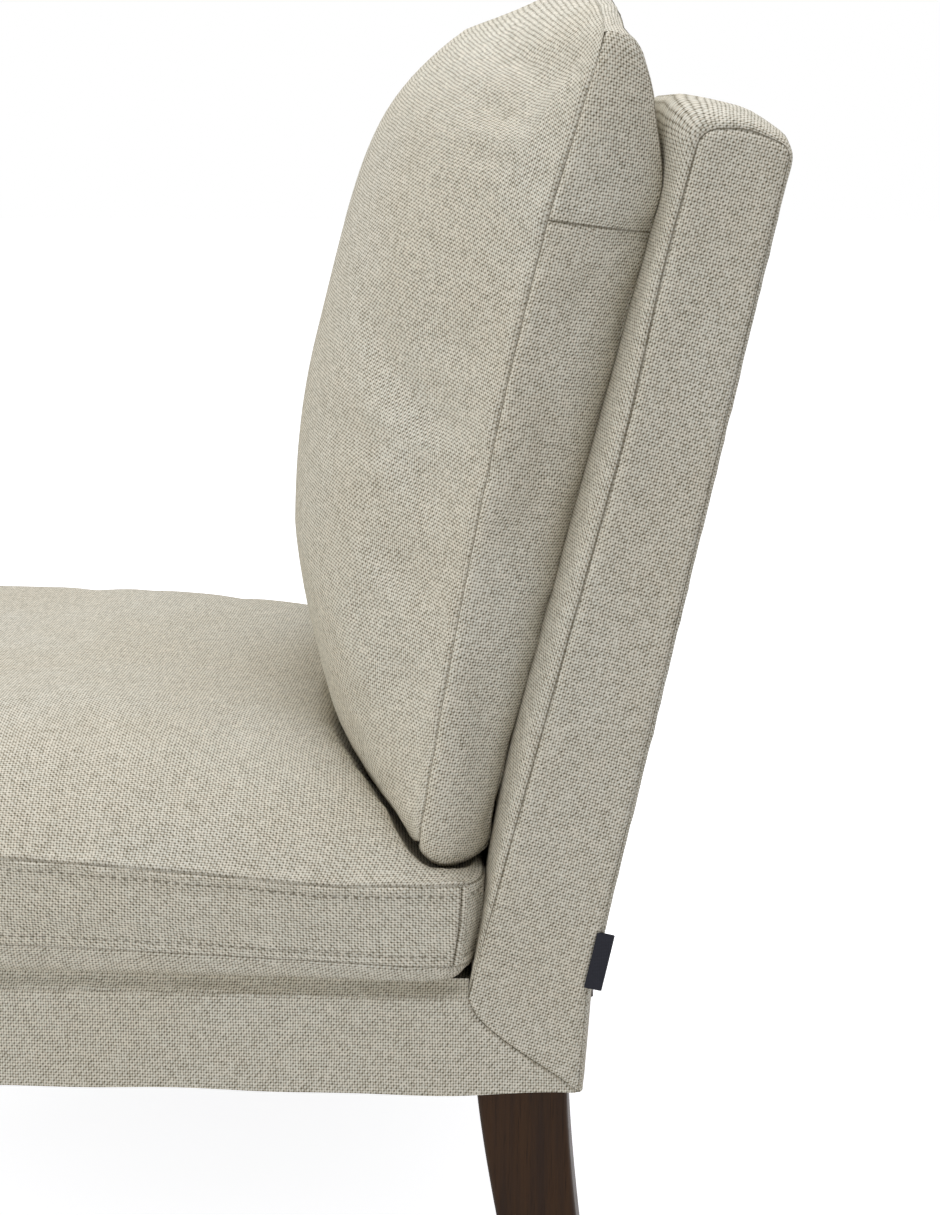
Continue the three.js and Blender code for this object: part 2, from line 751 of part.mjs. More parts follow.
function makeBackCover() {
  const outer = trimBelow(backForm(0, hemZ - overrun), hemZ);
  const shell = outer.subtract(backForm(coverThickness, hemZ - 2 * overrun));
  piece('back_cover', toGeometry(shell.subtract(seatZone(gap / 2))), 'linen');
}

// Thin sheet under the rails, notched round the legs.
function makeDustCover() {
  const highZ = railBottomZ - gap;
  const sheet = toSolid(boxBetween(
    [-sideRailOuterX, frontRailY, highZ - dustCoverThickness],
    [sideRailOuterX, rearRailRearY, highZ],
  ));
  let notched = sheet;
  for (const side of [-1, 1]) {
    for (const y of [frontLegY, rearLegY]) {
      const innerX = seatWidth / 2 - legInset - legTopWidth - gap;
      const xs = [side * innerX, side * (seatWidth / 2 + overrun)].sort((a, b) => a - b);
      const half = legTopDepth / 2 + dustNotchMargin;
      notched = notched.subtract(toSolid(boxBetween(
        [xs[0], y - half, highZ - overrun], [xs[1], y + half, highZ + overrun],
      )));
    }
  }
  piece('dust_cover', toGeometry(notched), 'dustCloth');
}

const glideTopZ = glideHeight + gap;
const legTopZ = railBottomZ - gap;

// Tapered leg with rounded edges: depth and width shrink to the foot, which sweeps in Y.
function legSolid(x, y, sweep) {
  const loops = [];
  for (let step = 0; step < legSteps; step++) {
    const fall = 1 - step / (legSteps - 1);
    const depth = THREE.MathUtils.lerp(legTopDepth, legFootDepth, fall);
    const width = THREE.MathUtils.lerp(legTopWidth, legFootWidth, fall);
    const z = THREE.MathUtils.lerp(legTopZ, glideTopZ, fall);
    const centreY = y + sweep * fall ** sweepPower;
    const loop = [];
    const corners = [[1, 1], [-1, 1], [-1, -1], [1, -1]];
    corners.forEach(([signX, signY], quarter) => {
      for (const share of [0, 0.5, 1]) {
        const angle = (quarter + share) * Math.PI / 2;
        loop.push(new THREE.Vector3(
          x + signX * (width / 2 - legEdgeRadius) + legEdgeRadius * Math.cos(angle),
          centreY + signY * (depth / 2 - legEdgeRadius) + legEdgeRadius * Math.sin(angle),
          z,
        ));
      }
    });
    loops.push(loop);
  }
  return toSolid(loftSections(loops, (point) => new THREE.Vector2(point.x, point.y)));
}

// Nail-on glide: a domed disc with a short shank.
function glideGeometry(clearance) {
  const radius = glideDiameter / 2;
  const shank = glideShankDiameter / 2 + clearance;
  const top = glideHeight + glideShankLength + clearance;
  const profile = [
    [0, 0], [radius * glideFaceShare, 0], [radius, glideHeight * glideRimShare], [radius, glideHeight],
    [shank, glideHeight], [shank, top], [0, top],
  ];
  const points = profile.map(([r, z]) => new THREE.Vector2(r, z));
  return new THREE.LatheGeometry(points, boreSides).rotateX(Math.PI / 2);
}

function makeLegs() {
  const x = seatWidth / 2 - legInset - legTopWidth / 2;
  const places = [
    ['front_left', -1, frontLegY, 0, boltX], ['front_right', 1, frontLegY, 0, boltX],
    ['rear_left', -1, rearLegY, rearLegSweep, rearBoltX],
    ['rear_right', 1, rearLegY, rearLegSweep, rearBoltX],
  ];
  for (const [name, side, y, sweep, bolt] of places) {
    const foot = y + sweep;
    const shankBore = toSolid(glideGeometry(gap)).translate(side * x, foot, 0);
    const leg = legSolid(side * x, y, sweep)
      .subtract(boltBore(side * bolt, y))
      .subtract(shankBore);
    piece(`leg_${name}`, toGeometry(leg), 'legWood');
    const low = railBottomZ - boltSink;
    const rod = cylinderUp(boltDiameter, side * bolt, y, low, low + boltLength, boltSides);
    piece(`hanger_bolt_${name}`, rod, 'steel');
    const glide = glideGeometry(0);
    glide.translate(side * x, foot, 0);
    piece(`glide_${name}`, glide, 'plastic');
  }
}

// Folded fabric tag that stands out of the rear seam on the right side.
function makeTag() {
  const highZ = tagLowZ + tagLength;
  const outline = [
    [rearLineY(tagLowZ), tagLowZ], [rearLineY(tagLowZ) + tagReach, tagLowZ - tagReach * Math.sin(rearRake)],
    [rearLineY(highZ) + tagReach, highZ - tagReach * Math.sin(rearRake)], [rearLineY(highZ), highZ],
  ];
  const lowX = seatWidth / 2 + gap;
  piece('side_tag', extrudeAlongX(outline, lowX, lowX + tagThickness), 'tag');
}

// Seat cushion

const seatCushionHalfDepth = (seatCushionRearY - seatCushionFrontY) / 2;
const seatCushionMiddleY = (seatCushionRearY + seatCushionFrontY) / 2;
const seatCushionLowZ = deckZ + deckCrown + gap;

// Rise of the boxing seams from the rear to the front, as a share.
function seatSeamRise(y) {
  const share = (seatCushionRearY - y) / (seatCushionRearY - seatCushionFrontY);
  return Math.sin((share - seamStartShare) * Math.PI / seamSpanShare);
}

// Closed form of the seat cushion, drawn in by inset on every face.
function seatCushionForm(inset) {
  const plan = roundedRectangle(
    seatCushionHalfWidth - inset, seatCushionHalfDepth - inset, seatCushionCornerRadius - inset,
    seatSideDraw,
  );
  const crownZ = seatCushionCrownZ - inset;
  const lowZ = seatCushionLowZ + inset;
  const topAt = (y) => seatSeamTopZ + seatSeamTopRise * seatSeamRise(y);
  const lowAt = (y) => seatSeamLowZ + seatSeamLowRise * seatSeamRise(y);
  const ring = (scale, height) => plan.map(([x, y]) => {
    const rimY = seatCushionMiddleY + y;
    return new THREE.Vector3(x * scale, seatCushionMiddleY + y * scale, height(rimY));
  });
  const under = (scale) => ring(scale, (y) => (
    lowZ + (lowAt(y) - lowZ) * scale ** seatCurlPower));
  const over = (scale) => ring(scale, (y) => (
    crownZ - (crownZ - topAt(y)) * scale ** seatCrownPower));
  const loops = [
    ...seatUnderShares.map(under),
    ...seatOverShares.map(over),
  ];
  const low = new THREE.Vector3(0, seatCushionMiddleY, lowZ);
  const high = new THREE.Vector3(0, seatCushionMiddleY, crownZ);
  return toSolid(loftToPoles(low, loops, high));
}

// Back cushion

// A point of the back cushion's own frame: x across, rise up along the back, offset out from it.
function onBack(x, rise, offset) {
  return new THREE.Vector3(
    x,
    backFootFrontY + rise * Math.sin(frontRake) - offset * Math.cos(frontRake),
    deckZ + rise * Math.cos(frontRake) + offset * Math.sin(frontRake),
  );
}

const backCushionMiddle = (backCushionLow + backCushionHigh) / 2;
const backCushionHalfHeight = (backCushionHigh - backCushionLow) / 2;

// Seam outline of the back cushion: arched top, drawn-in sides and straight bottom. Each point
// has its place, the direction in which its edge faces and its place on a square from -1 to 1.
function backCushionOutline(inset) {
  const halfX = backCushionHalfWidth - inset;
  const low = backCushionLow + inset;
  const cornerHigh = backCushionHigh - backCushionCornerDrop - inset;
  const high = backCushionHigh - inset;
  const points = [];
  for (const side of [1, -1]) {
    const flank = [];
    for (let step = 0; step <= sidePoints; step++) {
      const share = step / sidePoints;
      const corner = step === 0 || step === sidePoints;
      const drawn = backSideDraw * (corner ? 1 : Math.sin(share * Math.PI));
      const facing = [side, corner ? share * 2 - 1 : 0];
      const rise = low + (cornerHigh - low) * share;
      flank.push({ x: side * (halfX - drawn), rise, facing, square: [side, share * 2 - 1] });
    }
    if (side < 0) flank.reverse();
    points.push(...flank);
    for (const share of backEdgeShares) {
      const arched = cornerHigh + (high - cornerHigh) * (1 - share ** 2);
      const rise = side > 0 ? arched : low;
      const x = side * share * halfX;
      points.push({ x, rise, facing: [0, side], square: [side * share, side] });
    }
  }
  return points;
}

// How far up the tapered part of the boxing a height lies, from 0 at the gusset seam to 1.
function topShare(rise) {
  const cornerHigh = backCushionHigh - backCushionCornerDrop;
  return THREE.MathUtils.clamp((rise - gussetSeamRise) / (cornerHigh - gussetSeamRise), 0, 1);
}

// Offset of the front seam's ridge at a place on the outline.
function ridgeOffset(x, rise) {
  const share = THREE.MathUtils.clamp((rise - backCushionLow) / (gussetSeamRise - backCushionLow), 0, 1);
  const side = THREE.MathUtils.lerp(ridgeLowOffset, ridgeHighOffset, Math.sin(share * Math.PI / 2));
  const across = 1 - (x / backCushionHalfWidth) ** 2;
  return side + (topSeamOffset - ridgeHighOffset) * topShare(rise) * across;
}

function backCushionForm(inset) {
  const outline = backCushionOutline(inset);
  const middle = backCushionMiddle;
  const crown = backCushionCrownOffset - inset;
  const rearFlat = backCushionRearOffset + inset;
  const place = (scale, [sideTurnIn, lowTurnIn], offset) => outline.map((point) => {
    const { x, rise, facing, square } = point;
    const taper = topShare(rise);
    const placedX = x - facing[0] * sideTurnIn * (1 - taper);
    const placedRise = rise - facing[1] * lowTurnIn * (1 - taper) - middle;
    const placedOffset = offset(ridgeOffset(x, rise), taper, square);
    return onBack(placedX * scale, middle + placedRise * scale, placedOffset);
  });
  const rearTurnIns = [boxingTurnIn, boxingLowTurnIn];
  const rear = (scale) => place(scale, rearTurnIns, (ridge, taper) => {
    const rearSeam = THREE.MathUtils.lerp(rearSeamOffset + inset, ridge - topBoxing, taper);
    return rearFlat + (rearSeam - rearFlat) * scale ** rearPower;
  });
  const front = (scale) => place(scale, [0, 0], (ridge, taper, [across, up]) => {
    const acrossCrown = 1 - Math.abs(scale * across) ** acrossPower;
    const upCrown = 1 - Math.abs(scale * up) ** (up < 0 ? lowPower : highPower);
    return ridge + (crown - ridge) * acrossCrown * upCrown;
  });
  const loops = [
    ...backRearShares.map(rear),
    ...backFrontShares.map(front),
  ];
  const low = onBack(0, middle, rearFlat);
  const high = onBack(0, middle, crown);
  return toSolid(loftToPoles(low, loops, high));
}

// Slot for a zip in a cushion's boxing: a box with one face on the boxing, grown by clearance.
function zipSpace(length, centre, outward, clearance) {
  const geometry = new THREE.BoxGeometry(
    length + 2 * clearance, zipSlotHeight + 2 * clearance, 2 * zipSlotDepth,
  );
  const across = new THREE.Vector3(1, 0, 0);
  const up = new THREE.Vector3().crossVectors(outward, across);
  const turn = new THREE.Matrix4().makeBasis(across, up, outward).setPosition(centre);
  return toSolid(geometry.applyMatrix4(turn));
}

// Zip slider: a short body and a pull tab that lies along the zip.
function sliderGeometry(centre, outward, lift) {
  const half = sliderWidth / 2;
  const tabHalf = sliderTabWidth / 2;
  const neck = sliderLength / 2;
  const outline = [
    [-neck, -half * sliderNoseShare], [0, -half], [neck, -tabHalf], [neck + sliderTabLength, -tabHalf],
    [neck + sliderTabLength, tabHalf], [neck, tabHalf], [0, half], [-neck, half * sliderNoseShare],
  ];
  const shape = new THREE.Shape(outline.map(([along, over]) => new THREE.Vector2(along, over)));
  const hole = new THREE.Path();
  hole.absarc(neck + sliderTabLength * tabHoleShare, 0, tabHalf / 2, 0, Math.PI * 2, true);
  shape.holes.push(hole);
  const options = { depth: sliderThickness, bevelEnabled: false, curveSegments: holeSegments };
  const geometry = new THREE.ExtrudeGeometry(shape, options);
  geometry.translate(0, 0, lift);
  const across = new THREE.Vector3(1, 0, 0);
  const up = new THREE.Vector3().crossVectors(outward, across);
  const turn = new THREE.Matrix4().makeBasis(across, up, outward).setPosition(centre);
  return geometry.applyMatrix4(turn);
}

// Builds cover, core, zip tape and slider of one cushion from its form.
function makeCushion(prefix, form, zip, nest) {
  const thickness = cushionCoverThickness;
  const cut = (solid, clearance) => (nest ? solid.subtract(nest(clearance)) : solid);
  const recess = thickness - zipTapeThickness;
  const outer = cut(form(0), nestClearance);
  const inner = cut(form(thickness), nestClearance + thickness);
  const slot = zipSpace(zip.length, zip.centre, zip.outward, 0);
  piece(`${prefix}_cover`, toGeometry(outer.subtract(inner).subtract(slot)), 'linen');

  const core = cut(form(thickness + coreClearance), nestClearance + thickness + coreClearance);
  piece(`${prefix}_core`, toGeometry(core), 'foam');

  const tape = form(recess).subtract(form(thickness))
    .intersect(zipSpace(zip.length, zip.centre, zip.outward, -gap));
  piece(`${prefix}_zip`, toGeometry(tape), 'zipTape');
  const closedEnd = zip.centre.clone();
  closedEnd.x += zip.length / 2 - sliderLength - sliderTabLength;
  piece(`${prefix}_zip_slider`, sliderGeometry(closedEnd, zip.outward, gap - recess), 'steel');
}

function makeCushions() {
  const rearBoxingZ = (seatSeamTopZ + seatSeamLowZ) / 2;
  makeCushion('seat_cushion', seatCushionForm, {
    length: seatZipLength,
    centre: new THREE.Vector3(0, seatCushionRearY, rearBoxingZ),
    outward: new THREE.Vector3(0, 1, 0),
  }, (clearance) => backCushionForm(-clearance));

  const rise = backCushionLow + boxingLowTurnIn / 2;
  const offset = (ridgeLowOffset + rearSeamOffset) / 2;
  const slopeRise = boxingLowTurnIn;
  const slopeOffset = ridgeLowOffset - rearSeamOffset;
  const outward = onBack(0, -slopeOffset, -slopeRise).sub(onBack(0, 0, 0)).normalize();
  makeCushion('back_cushion', backCushionForm, {
    length: backZipLength, centre: onBack(0, rise, offset), outward,
  }, null);
}

makeSeatFrame();
makeCornerBlocks();
makeBackFrame();
makeBackWebs();
makeSprings();
makeSeatPadding();
makeSeatCover();
makeBackPadding();
makeBackCover();
makeDustCover();
makeLegs();
makeTag();
makeCushions();

// The origin is under the middle of the chair's whole depth.
const extent = new THREE.Box3().setFromObject(chair);
chair.position.y = -extent.getCenter(new THREE.Vector3()).y;

export default chair;
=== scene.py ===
import json
import math
import bmesh
import bpy
import numpy as np
from mathutils import Matrix, Vector


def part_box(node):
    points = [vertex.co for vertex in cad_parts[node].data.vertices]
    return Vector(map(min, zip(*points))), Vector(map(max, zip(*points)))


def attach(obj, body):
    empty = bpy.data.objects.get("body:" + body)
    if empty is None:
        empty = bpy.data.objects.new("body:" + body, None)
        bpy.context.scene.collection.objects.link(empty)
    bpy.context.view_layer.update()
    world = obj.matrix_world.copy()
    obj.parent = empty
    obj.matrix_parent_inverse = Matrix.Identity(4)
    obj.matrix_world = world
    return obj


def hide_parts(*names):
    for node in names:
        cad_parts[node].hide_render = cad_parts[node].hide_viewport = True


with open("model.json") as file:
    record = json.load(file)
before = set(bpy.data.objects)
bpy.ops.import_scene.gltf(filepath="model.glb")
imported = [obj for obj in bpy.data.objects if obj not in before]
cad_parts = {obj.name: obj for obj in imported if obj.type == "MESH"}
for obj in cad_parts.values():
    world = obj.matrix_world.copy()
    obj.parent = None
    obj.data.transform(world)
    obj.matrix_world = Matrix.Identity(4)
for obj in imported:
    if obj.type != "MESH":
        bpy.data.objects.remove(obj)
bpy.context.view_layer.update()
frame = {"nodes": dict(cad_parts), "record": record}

# Slipper chair: linen covers over padding, two loose cushions, wooden legs.
# Metres, +Z up, the seat faces -Y. Rise runs up along the back's front seam line, offset forward of it.

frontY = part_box("seat_cushion_cover")[0].y       # front of the seat cushion
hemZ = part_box("seat_cover")[0].z                 # lower edge of the cover
chair = {
    "hemZ": hemZ,
    "deckZ": hemZ + 0.064,                # seam between border and deck
    "footY": frontY + 0.611,              # inside back at the deck
    "frontRake": math.radians(14.6),
    "rearRake": math.radians(12.4),
    "halfWidth": 0.300,
}


# Surfaces

def blendValues(a, b, share):
    return a + (b - a) * share


def smoothStep(x, low, high):
    # cubic ease from 0 at low to 1 at high
    t = np.clip((x - low) / (high - low), 0, 1)
    return t * t * (3 - 2 * t)


def onBack(x, rise, offset):
    # turns (rise, offset) by the rake about the foot of the inside back
    sine, cosine = math.sin(chair["frontRake"]), math.cos(chair["frontRake"])
    x, rise, offset = np.broadcast_arrays(x, rise, offset)
    return np.stack([x, chair["footY"] + rise * sine - offset * cosine,
                     chair["deckZ"] + rise * cosine + offset * sine], axis=-1)


def spacing(stops, fine=0.0009, coarse=0.0075, reach=0.016):
    # sample places along a line: steps are fine at each stop and coarse between, by inverting
    # the integral of 1 / step, so every stop is a sample
    places = [np.array([stops[0]])]
    for low, high in zip(stops[:-1], stops[1:]):
        p = np.linspace(low, high, 600)
        away = np.minimum(p - low, high - p)
        step = fine + (coarse - fine) * smoothStep(away, 0, reach)
        count = np.concatenate([[0], np.cumsum((p[1] - p[0]) / step[1:])])
        total = max(2, int(round(count[-1])))
        places.append(np.interp(np.linspace(0, count[-1], total + 1)[1:], count, p))
    return np.concatenate(places)


def runLengths(points, axis):
    # distance travelled along one direction of a grid of points
    steps = np.linalg.norm(np.diff(points, axis=axis), axis=-1)
    zero = np.zeros_like(np.take(steps, [0], axis=axis))
    return np.concatenate([zero, np.cumsum(steps, axis=axis)], axis=axis)


def smoothNoise(points, size, seed, waves=7, spread=3.2):
    # sum of sine waves in seeded directions, about -1 to 1, with features about size metres apart
    rng = np.random.default_rng(seed)
    total = np.zeros(points.shape[:-1])
    for wave in range(waves):
        direction = rng.normal(size=3)
        direction /= np.linalg.norm(direction)
        rate = 2 * math.pi / size * rng.uniform(0.6, 1.6)
        total += np.sin(points @ direction * rate + rng.uniform(0, 6.28))
    return total / spread


def bell(x, place, width, power=2):
    # 1 at its place, falling off as the exponential of a power of the distance in widths
    return np.exp(-((x - place) / width) ** power)


def gridQuads(index):
    # the corner numbers of each cell of a grid of vertex numbers
    return np.stack([index[:-1, :-1], index[:-1, 1:], index[1:, 1:], index[1:, :-1]], axis=-1)


class Sewing:
    # panels of cloth, each a grid of points, sewn into one mesh along the edges they share

    def __init__(self, name):
        self.name = name
        self.grids = []

    def panel(self, label, points, seams="", uv=None, flip=False, stitched="", quiet=None, alongSides=False):
        # seams names the sewn edges of the grid: a and b for the first and last row, c and d
        # for the first and last column. Only stitched edges have their run along the seam above 0,
        # and quiet moves an edge's painted seam shade off the cloth. The weave follows the middle of the
        # panel, or its first and last column.
        rows, columns = runLengths(points, 0), runLengths(points, 1)
        if uv is None and alongSides:
            width = columns[:, -1:]
            share = smoothStep(columns / width, 0.25, 0.75)
            uv = np.stack([columns + (width.mean() - width) * share,
                           blendValues(rows[:, :1], rows[:, -1:], share)], axis=-1)
        elif uv is None:
            across = columns - columns[:, columns.shape[1] // 2][:, None]
            up = rows - rows[rows.shape[0] // 2][None, :]
            uv = np.stack([across, up], axis=-1)
        runs = {"a": (columns[:1], rows), "b": (columns[-1:], rows[-1:] - rows),
                "c": (rows[:, :1], columns), "d": (rows[:, -1:], columns[:, -1:] - columns)}
        marks = [mark for mark in "abcd" if mark in seams]
        edges = [np.stack(np.broadcast_arrays(*runs[mark]), axis=-1) for mark in marks]
        edges = edges or [np.stack([columns, rows * 0 + 1.0], axis=-1)]
        away = np.min([edge[..., 1] for edge in edges], axis=0)
        for mark, edge in zip(marks, edges):
            edge[..., 0] = (edge[..., 0] + 0.0001) * (1 if mark in stitched else -1)
            edge[..., 1] += (quiet or {}).get(mark, 0.0)
        self.grids.append({"label": label, "points": points, "uv": uv, "edges": edges, "away": away,
                           "lift": np.zeros(away.shape), "flip": flip})

    def sew(self, weld=1e-5):
        # edge points closer than the weld become one vertex; each face takes the seam values of
        # its nearest sewn edge
        flat = np.concatenate([g["points"].reshape(-1, 3) for g in self.grids])
        keys = np.round(flat / weld).astype(np.int64)
        firsts, inverse = np.unique(keys, axis=0, return_index=True, return_inverse=True)[1:]
        self.inverse = inverse.reshape(-1)
        self.vertices = flat[firsts]
        quads, weave, seam, start = [], [], [], 0
        for g in self.grids:
            n, m = g["away"].shape
            quad = gridQuads(np.arange(n * m).reshape(n, m))
            quad = (quad[..., ::-1] if g["flip"] else quad).reshape(-1, 4)
            nearest = np.argmin([e[..., 1].reshape(-1)[quad].mean(axis=1) for e in g["edges"]], axis=0)
            stacked = np.stack([e.reshape(-1, 2)[quad] for e in g["edges"]])
            seam.append(stacked[nearest, np.arange(len(quad))])
            weave.append(g["uv"].reshape(-1, 2)[quad])
            quads.append(self.inverse[quad + start])
            start += n * m
        self.quads, self.weave, self.seam = np.concatenate(quads), np.concatenate(weave), np.concatenate(seam)
        self.lift = np.full(len(self.vertices), -1.0)
        np.maximum.at(self.lift, self.inverse, np.concatenate([g["lift"].reshape(-1) for g in self.grids]))
        self.away = np.full(len(self.vertices), 9.0)
        np.minimum.at(self.away, self.inverse, np.concatenate([g["away"].reshape(-1) for g in self.grids]))

    def faceVectors(self):
        # cross product of each face's diagonals
        corner = self.vertices[self.quads]
        return np.cross(corner[:, 2] - corner[:, 0], corner[:, 3] - corner[:, 1])

    def normals(self):
        # the sum of the face vectors round each vertex, made one long
        face = self.faceVectors()
        total = np.zeros_like(self.vertices)
        for k in range(4):
            np.add.at(total, self.quads[:, k], face)
        return total / np.maximum(np.linalg.norm(total, axis=1, keepdims=True), 1e-12)

    def push(self, distance):
        # moves the vertices along their normals
        self.vertices = self.vertices + self.normals() * np.asarray(distance)[:, None]

    def onPanel(self, label, values):
        # values of the sewn vertices, as the grid of one panel
        start = 0
        for g in self.grids:
            n, m = g["away"].shape
            if g["label"] == label:
                return values[self.inverse[start:start + n * m]].reshape(n, m, -1)
            start += n * m
        raise KeyError(label)

    def build(self, material):
        # faces shrunk to a line are left out
        used = np.linalg.norm(self.faceVectors(), axis=1) > 1e-12
        mesh = makeMesh(self.name, self.vertices, self.quads[used])
        for name, values in (("weave", self.weave), ("seam", self.seam)):
            layer = mesh.uv_layers.new(name=name)
            layer.data.foreach_set("uv", values[used].reshape(-1).astype(np.float32))
        return makeObject(self.name, mesh, material)


def makeMesh(name, vertices, faces, smooth=True):
    # faces is an array of quads, or a list where their lengths differ
    mesh = bpy.data.meshes.new(name)
    faces = faces.tolist() if isinstance(faces, np.ndarray) else faces
    mesh.from_pydata(np.asarray(vertices, float).reshape(-1, 3), [], faces)
    mesh.polygons.foreach_set("use_smooth", np.full(len(mesh.polygons), smooth))
    mesh.update()
    return mesh


def makeObject(name, mesh, material):
    obj = bpy.data.objects.new(name, mesh)
    bpy.context.scene.collection.objects.link(obj)
    mesh.materials.append(material)
    return obj


def ringFaces(n, m):
    # faces of a closed tube of n rings of m vertices, with a cap at each end
    index = np.arange(n * m).reshape(n, m)
    walls = gridQuads(np.concatenate([index, index[:, :1]], axis=1)).reshape(-1, 4).tolist()
    return walls + [index[0][::-1].tolist(), index[-1].tolist()]


def gridMesh(name, points, material, closed=False):
    # one grid of points as a mesh, as an open sheet or as a closed tube
    n, m = points.shape[:2]
    faces = ringFaces(n, m) if closed else gridQuads(np.arange(n * m).reshape(n, m)).reshape(-1, 4)
    return makeObject(name, makeMesh(name, points, faces), material)


# Shader maths

class Field:
    # a socket that carries a number; arithmetic on it adds Math nodes

    def __init__(self, maker, socket):
        self.maker, self.socket = maker, socket

    def join(self, operation, *others):
        node = self.maker.node("ShaderNodeMath", {"operation": operation},
                               {k: v for k, v in enumerate((self,) + others)})
        return Field(self.maker, node.outputs[0])

    def __add__(self, other): return self.join("ADD", other)
    def __radd__(self, other): return self.join("ADD", other)
    def __sub__(self, other): return self.join("SUBTRACT", other)
    def __rsub__(self, other): return (self * -1) + other
    def __mul__(self, other): return self.join("MULTIPLY", other)
    def __rmul__(self, other): return self.join("MULTIPLY", other)
    def __truediv__(self, other): return self.join("DIVIDE", other)
    def floor(self): return self.join("FLOOR")
    def fract(self): return self.join("FRACT")
    def cos(self): return self.join("COSINE")
    def absolute(self): return self.join("ABSOLUTE")
    def power(self, exponent): return self.join("POWER", exponent)
    def maximum(self, other): return self.join("MAXIMUM", other)
    def isOver(self, other): return self.join("GREATER_THAN", other)

    def ramp(self, low, high, fromValue=0.0, toValue=1.0):
        sockets = {"Value": self, "From Min": low, "From Max": high, "To Min": fromValue, "To Max": toValue}
        node = self.maker.node("ShaderNodeMapRange", {"interpolation_type": "SMOOTHSTEP"}, sockets)
        return Field(self.maker, node.outputs[0])


class Finish:
    # one material, or the nodes of a given tree; node() adds any node from its type, its settings
    # and its sockets' values or links

    def __init__(self, name, tree=None):
        if tree is None:
            self.material = bpy.data.materials.new(name)
            self.material.use_nodes = True
            tree = self.material.node_tree
        self.tree = tree
        self.tree.nodes.clear()

    def node(self, kind, settings=None, sockets=None):
        node = self.tree.nodes.new(kind)
        for key, value in (settings or {}).items():
            setattr(node, key, value)
        for key, value in (sockets or {}).items():
            target = node.inputs[key]
            if isinstance(value, Field):
                value = value.socket
            if isinstance(value, bpy.types.NodeSocket):
                self.tree.links.new(value, target)
            else:
                target.default_value = value
        return node

    def field(self, node, output=0):
        return Field(self, node.outputs[output])

    def split(self, vector):
        node = self.node("ShaderNodeSeparateXYZ", None, {0: vector})
        return [self.field(node, k) for k in range(3)]

    def uv(self, name):
        return self.split(self.node("ShaderNodeUVMap", {"uv_map": name}).outputs[0])[:2]

    def place(self):
        # the object's coordinates
        return self.node("ShaderNodeTexCoord").outputs["Object"]

    def vector(self, x, y, z=0.0):
        return self.node("ShaderNodeCombineXYZ", None, {0: x, 1: y, 2: z}).outputs[0]

    def noise(self, vector, scale, detail=2.0, roughness=0.5):
        sockets = {"Vector": vector, "Scale": scale, "Detail": detail, "Roughness": roughness}
        return self.field(self.node("ShaderNodeTexNoise", None, sockets))

    def random(self, vector):
        return self.field(self.node("ShaderNodeTexWhiteNoise", {"noise_dimensions": "3D"}, {"Vector": vector}))

    def mix(self, factor, first, second, kind="MIX"):
        sockets = {0: factor, 6: first, 7: second}
        return self.node("ShaderNodeMix", {"data_type": "RGBA", "blend_type": kind}, sockets).outputs[2]

    def bump(self, height, distance, strength=1.0):
        sockets = {"Height": height, "Distance": distance, "Strength": strength}
        return self.node("ShaderNodeBump", None, sockets).outputs[0]

    def finish(self, color, roughness, normal, metallic=0.0, **fixed):
        sockets = {"Base Color": color, "Roughness": roughness, "Metallic": metallic, "Normal": normal}
        shader = self.node("ShaderNodeBsdfPrincipled", None, {**sockets, **fixed})
        self.node("ShaderNodeOutputMaterial", None, {"Surface": shader.outputs[0]})
        return self.material


def srgb(red, green, blue):
    # a colour written as it looks, from 0 to 255, to the linear values that sockets take
    levels = [v / 255 for v in (red, green, blue)]
    return tuple(v / 12.92 if v <= 0.04045 else ((v + 0.055) / 1.055) ** 2.4 for v in levels) + (1.0,)


# Linen

linen = {
    "warpPitch": 0.00160, "weftPitch": 0.00186,         # distance between threads
    "wander": 0.0013, "wanderRates": (60, 52),          # how far and how often threads stray
    "domePower": 0.8, "warpHeight": 0.36, "weftHeight": 0.32, "crossing": 0.13, "deepHoles": 0.11,
    "slubRate": 70, "slubHeight": 0.11, "slubRange": (0.35, 0.7),
    "grainRate": 700, "grain": 0.34, "scatter": 0.1,    # unevenness that only the colour shows
    # painted shade and highlight: the colour of the low places between threads is painted shade, crown a painted
    # highlight on the thread tops, valley the tone between them
    "hole": srgb(68, 60, 43), "valley": srgb(154, 147, 127), "crown": srgb(228, 223, 206),
    "warm": srgb(227, 218, 199), "cool": srgb(221, 219, 204),
    # heights over which the painted shade and the painted highlight come in
    "holeRange": (0.0, 0.32), "crownRange": (0.25, 0.64),
    "patchRate": 7, "patch": srgb(252, 250, 247), "clear": srgb(255, 255, 255),
    "bumpHeight": 0.00022, "roughness": 0.9, "specular": 0.12,
    # painted shade in the seam groove: its width, the ramp over it, the rate of the noise that varies the width, the
    # bump sink and the colour
    "seamShade": 0.0016, "seamRange": (0.4, 1.2), "shadeSpreadRate": 330, "seamSunk": 0.6, "seamShadeTone": srgb(92, 84, 64),
    # stitch dots, painted shade where the thread goes in: pitch, squash, size and darkness
    "stitchPitch": 0.0065, "stitchSquash": 0.45, "stitchRange": (0.0004, 0.0010), "stitchShade": 0.6,
}


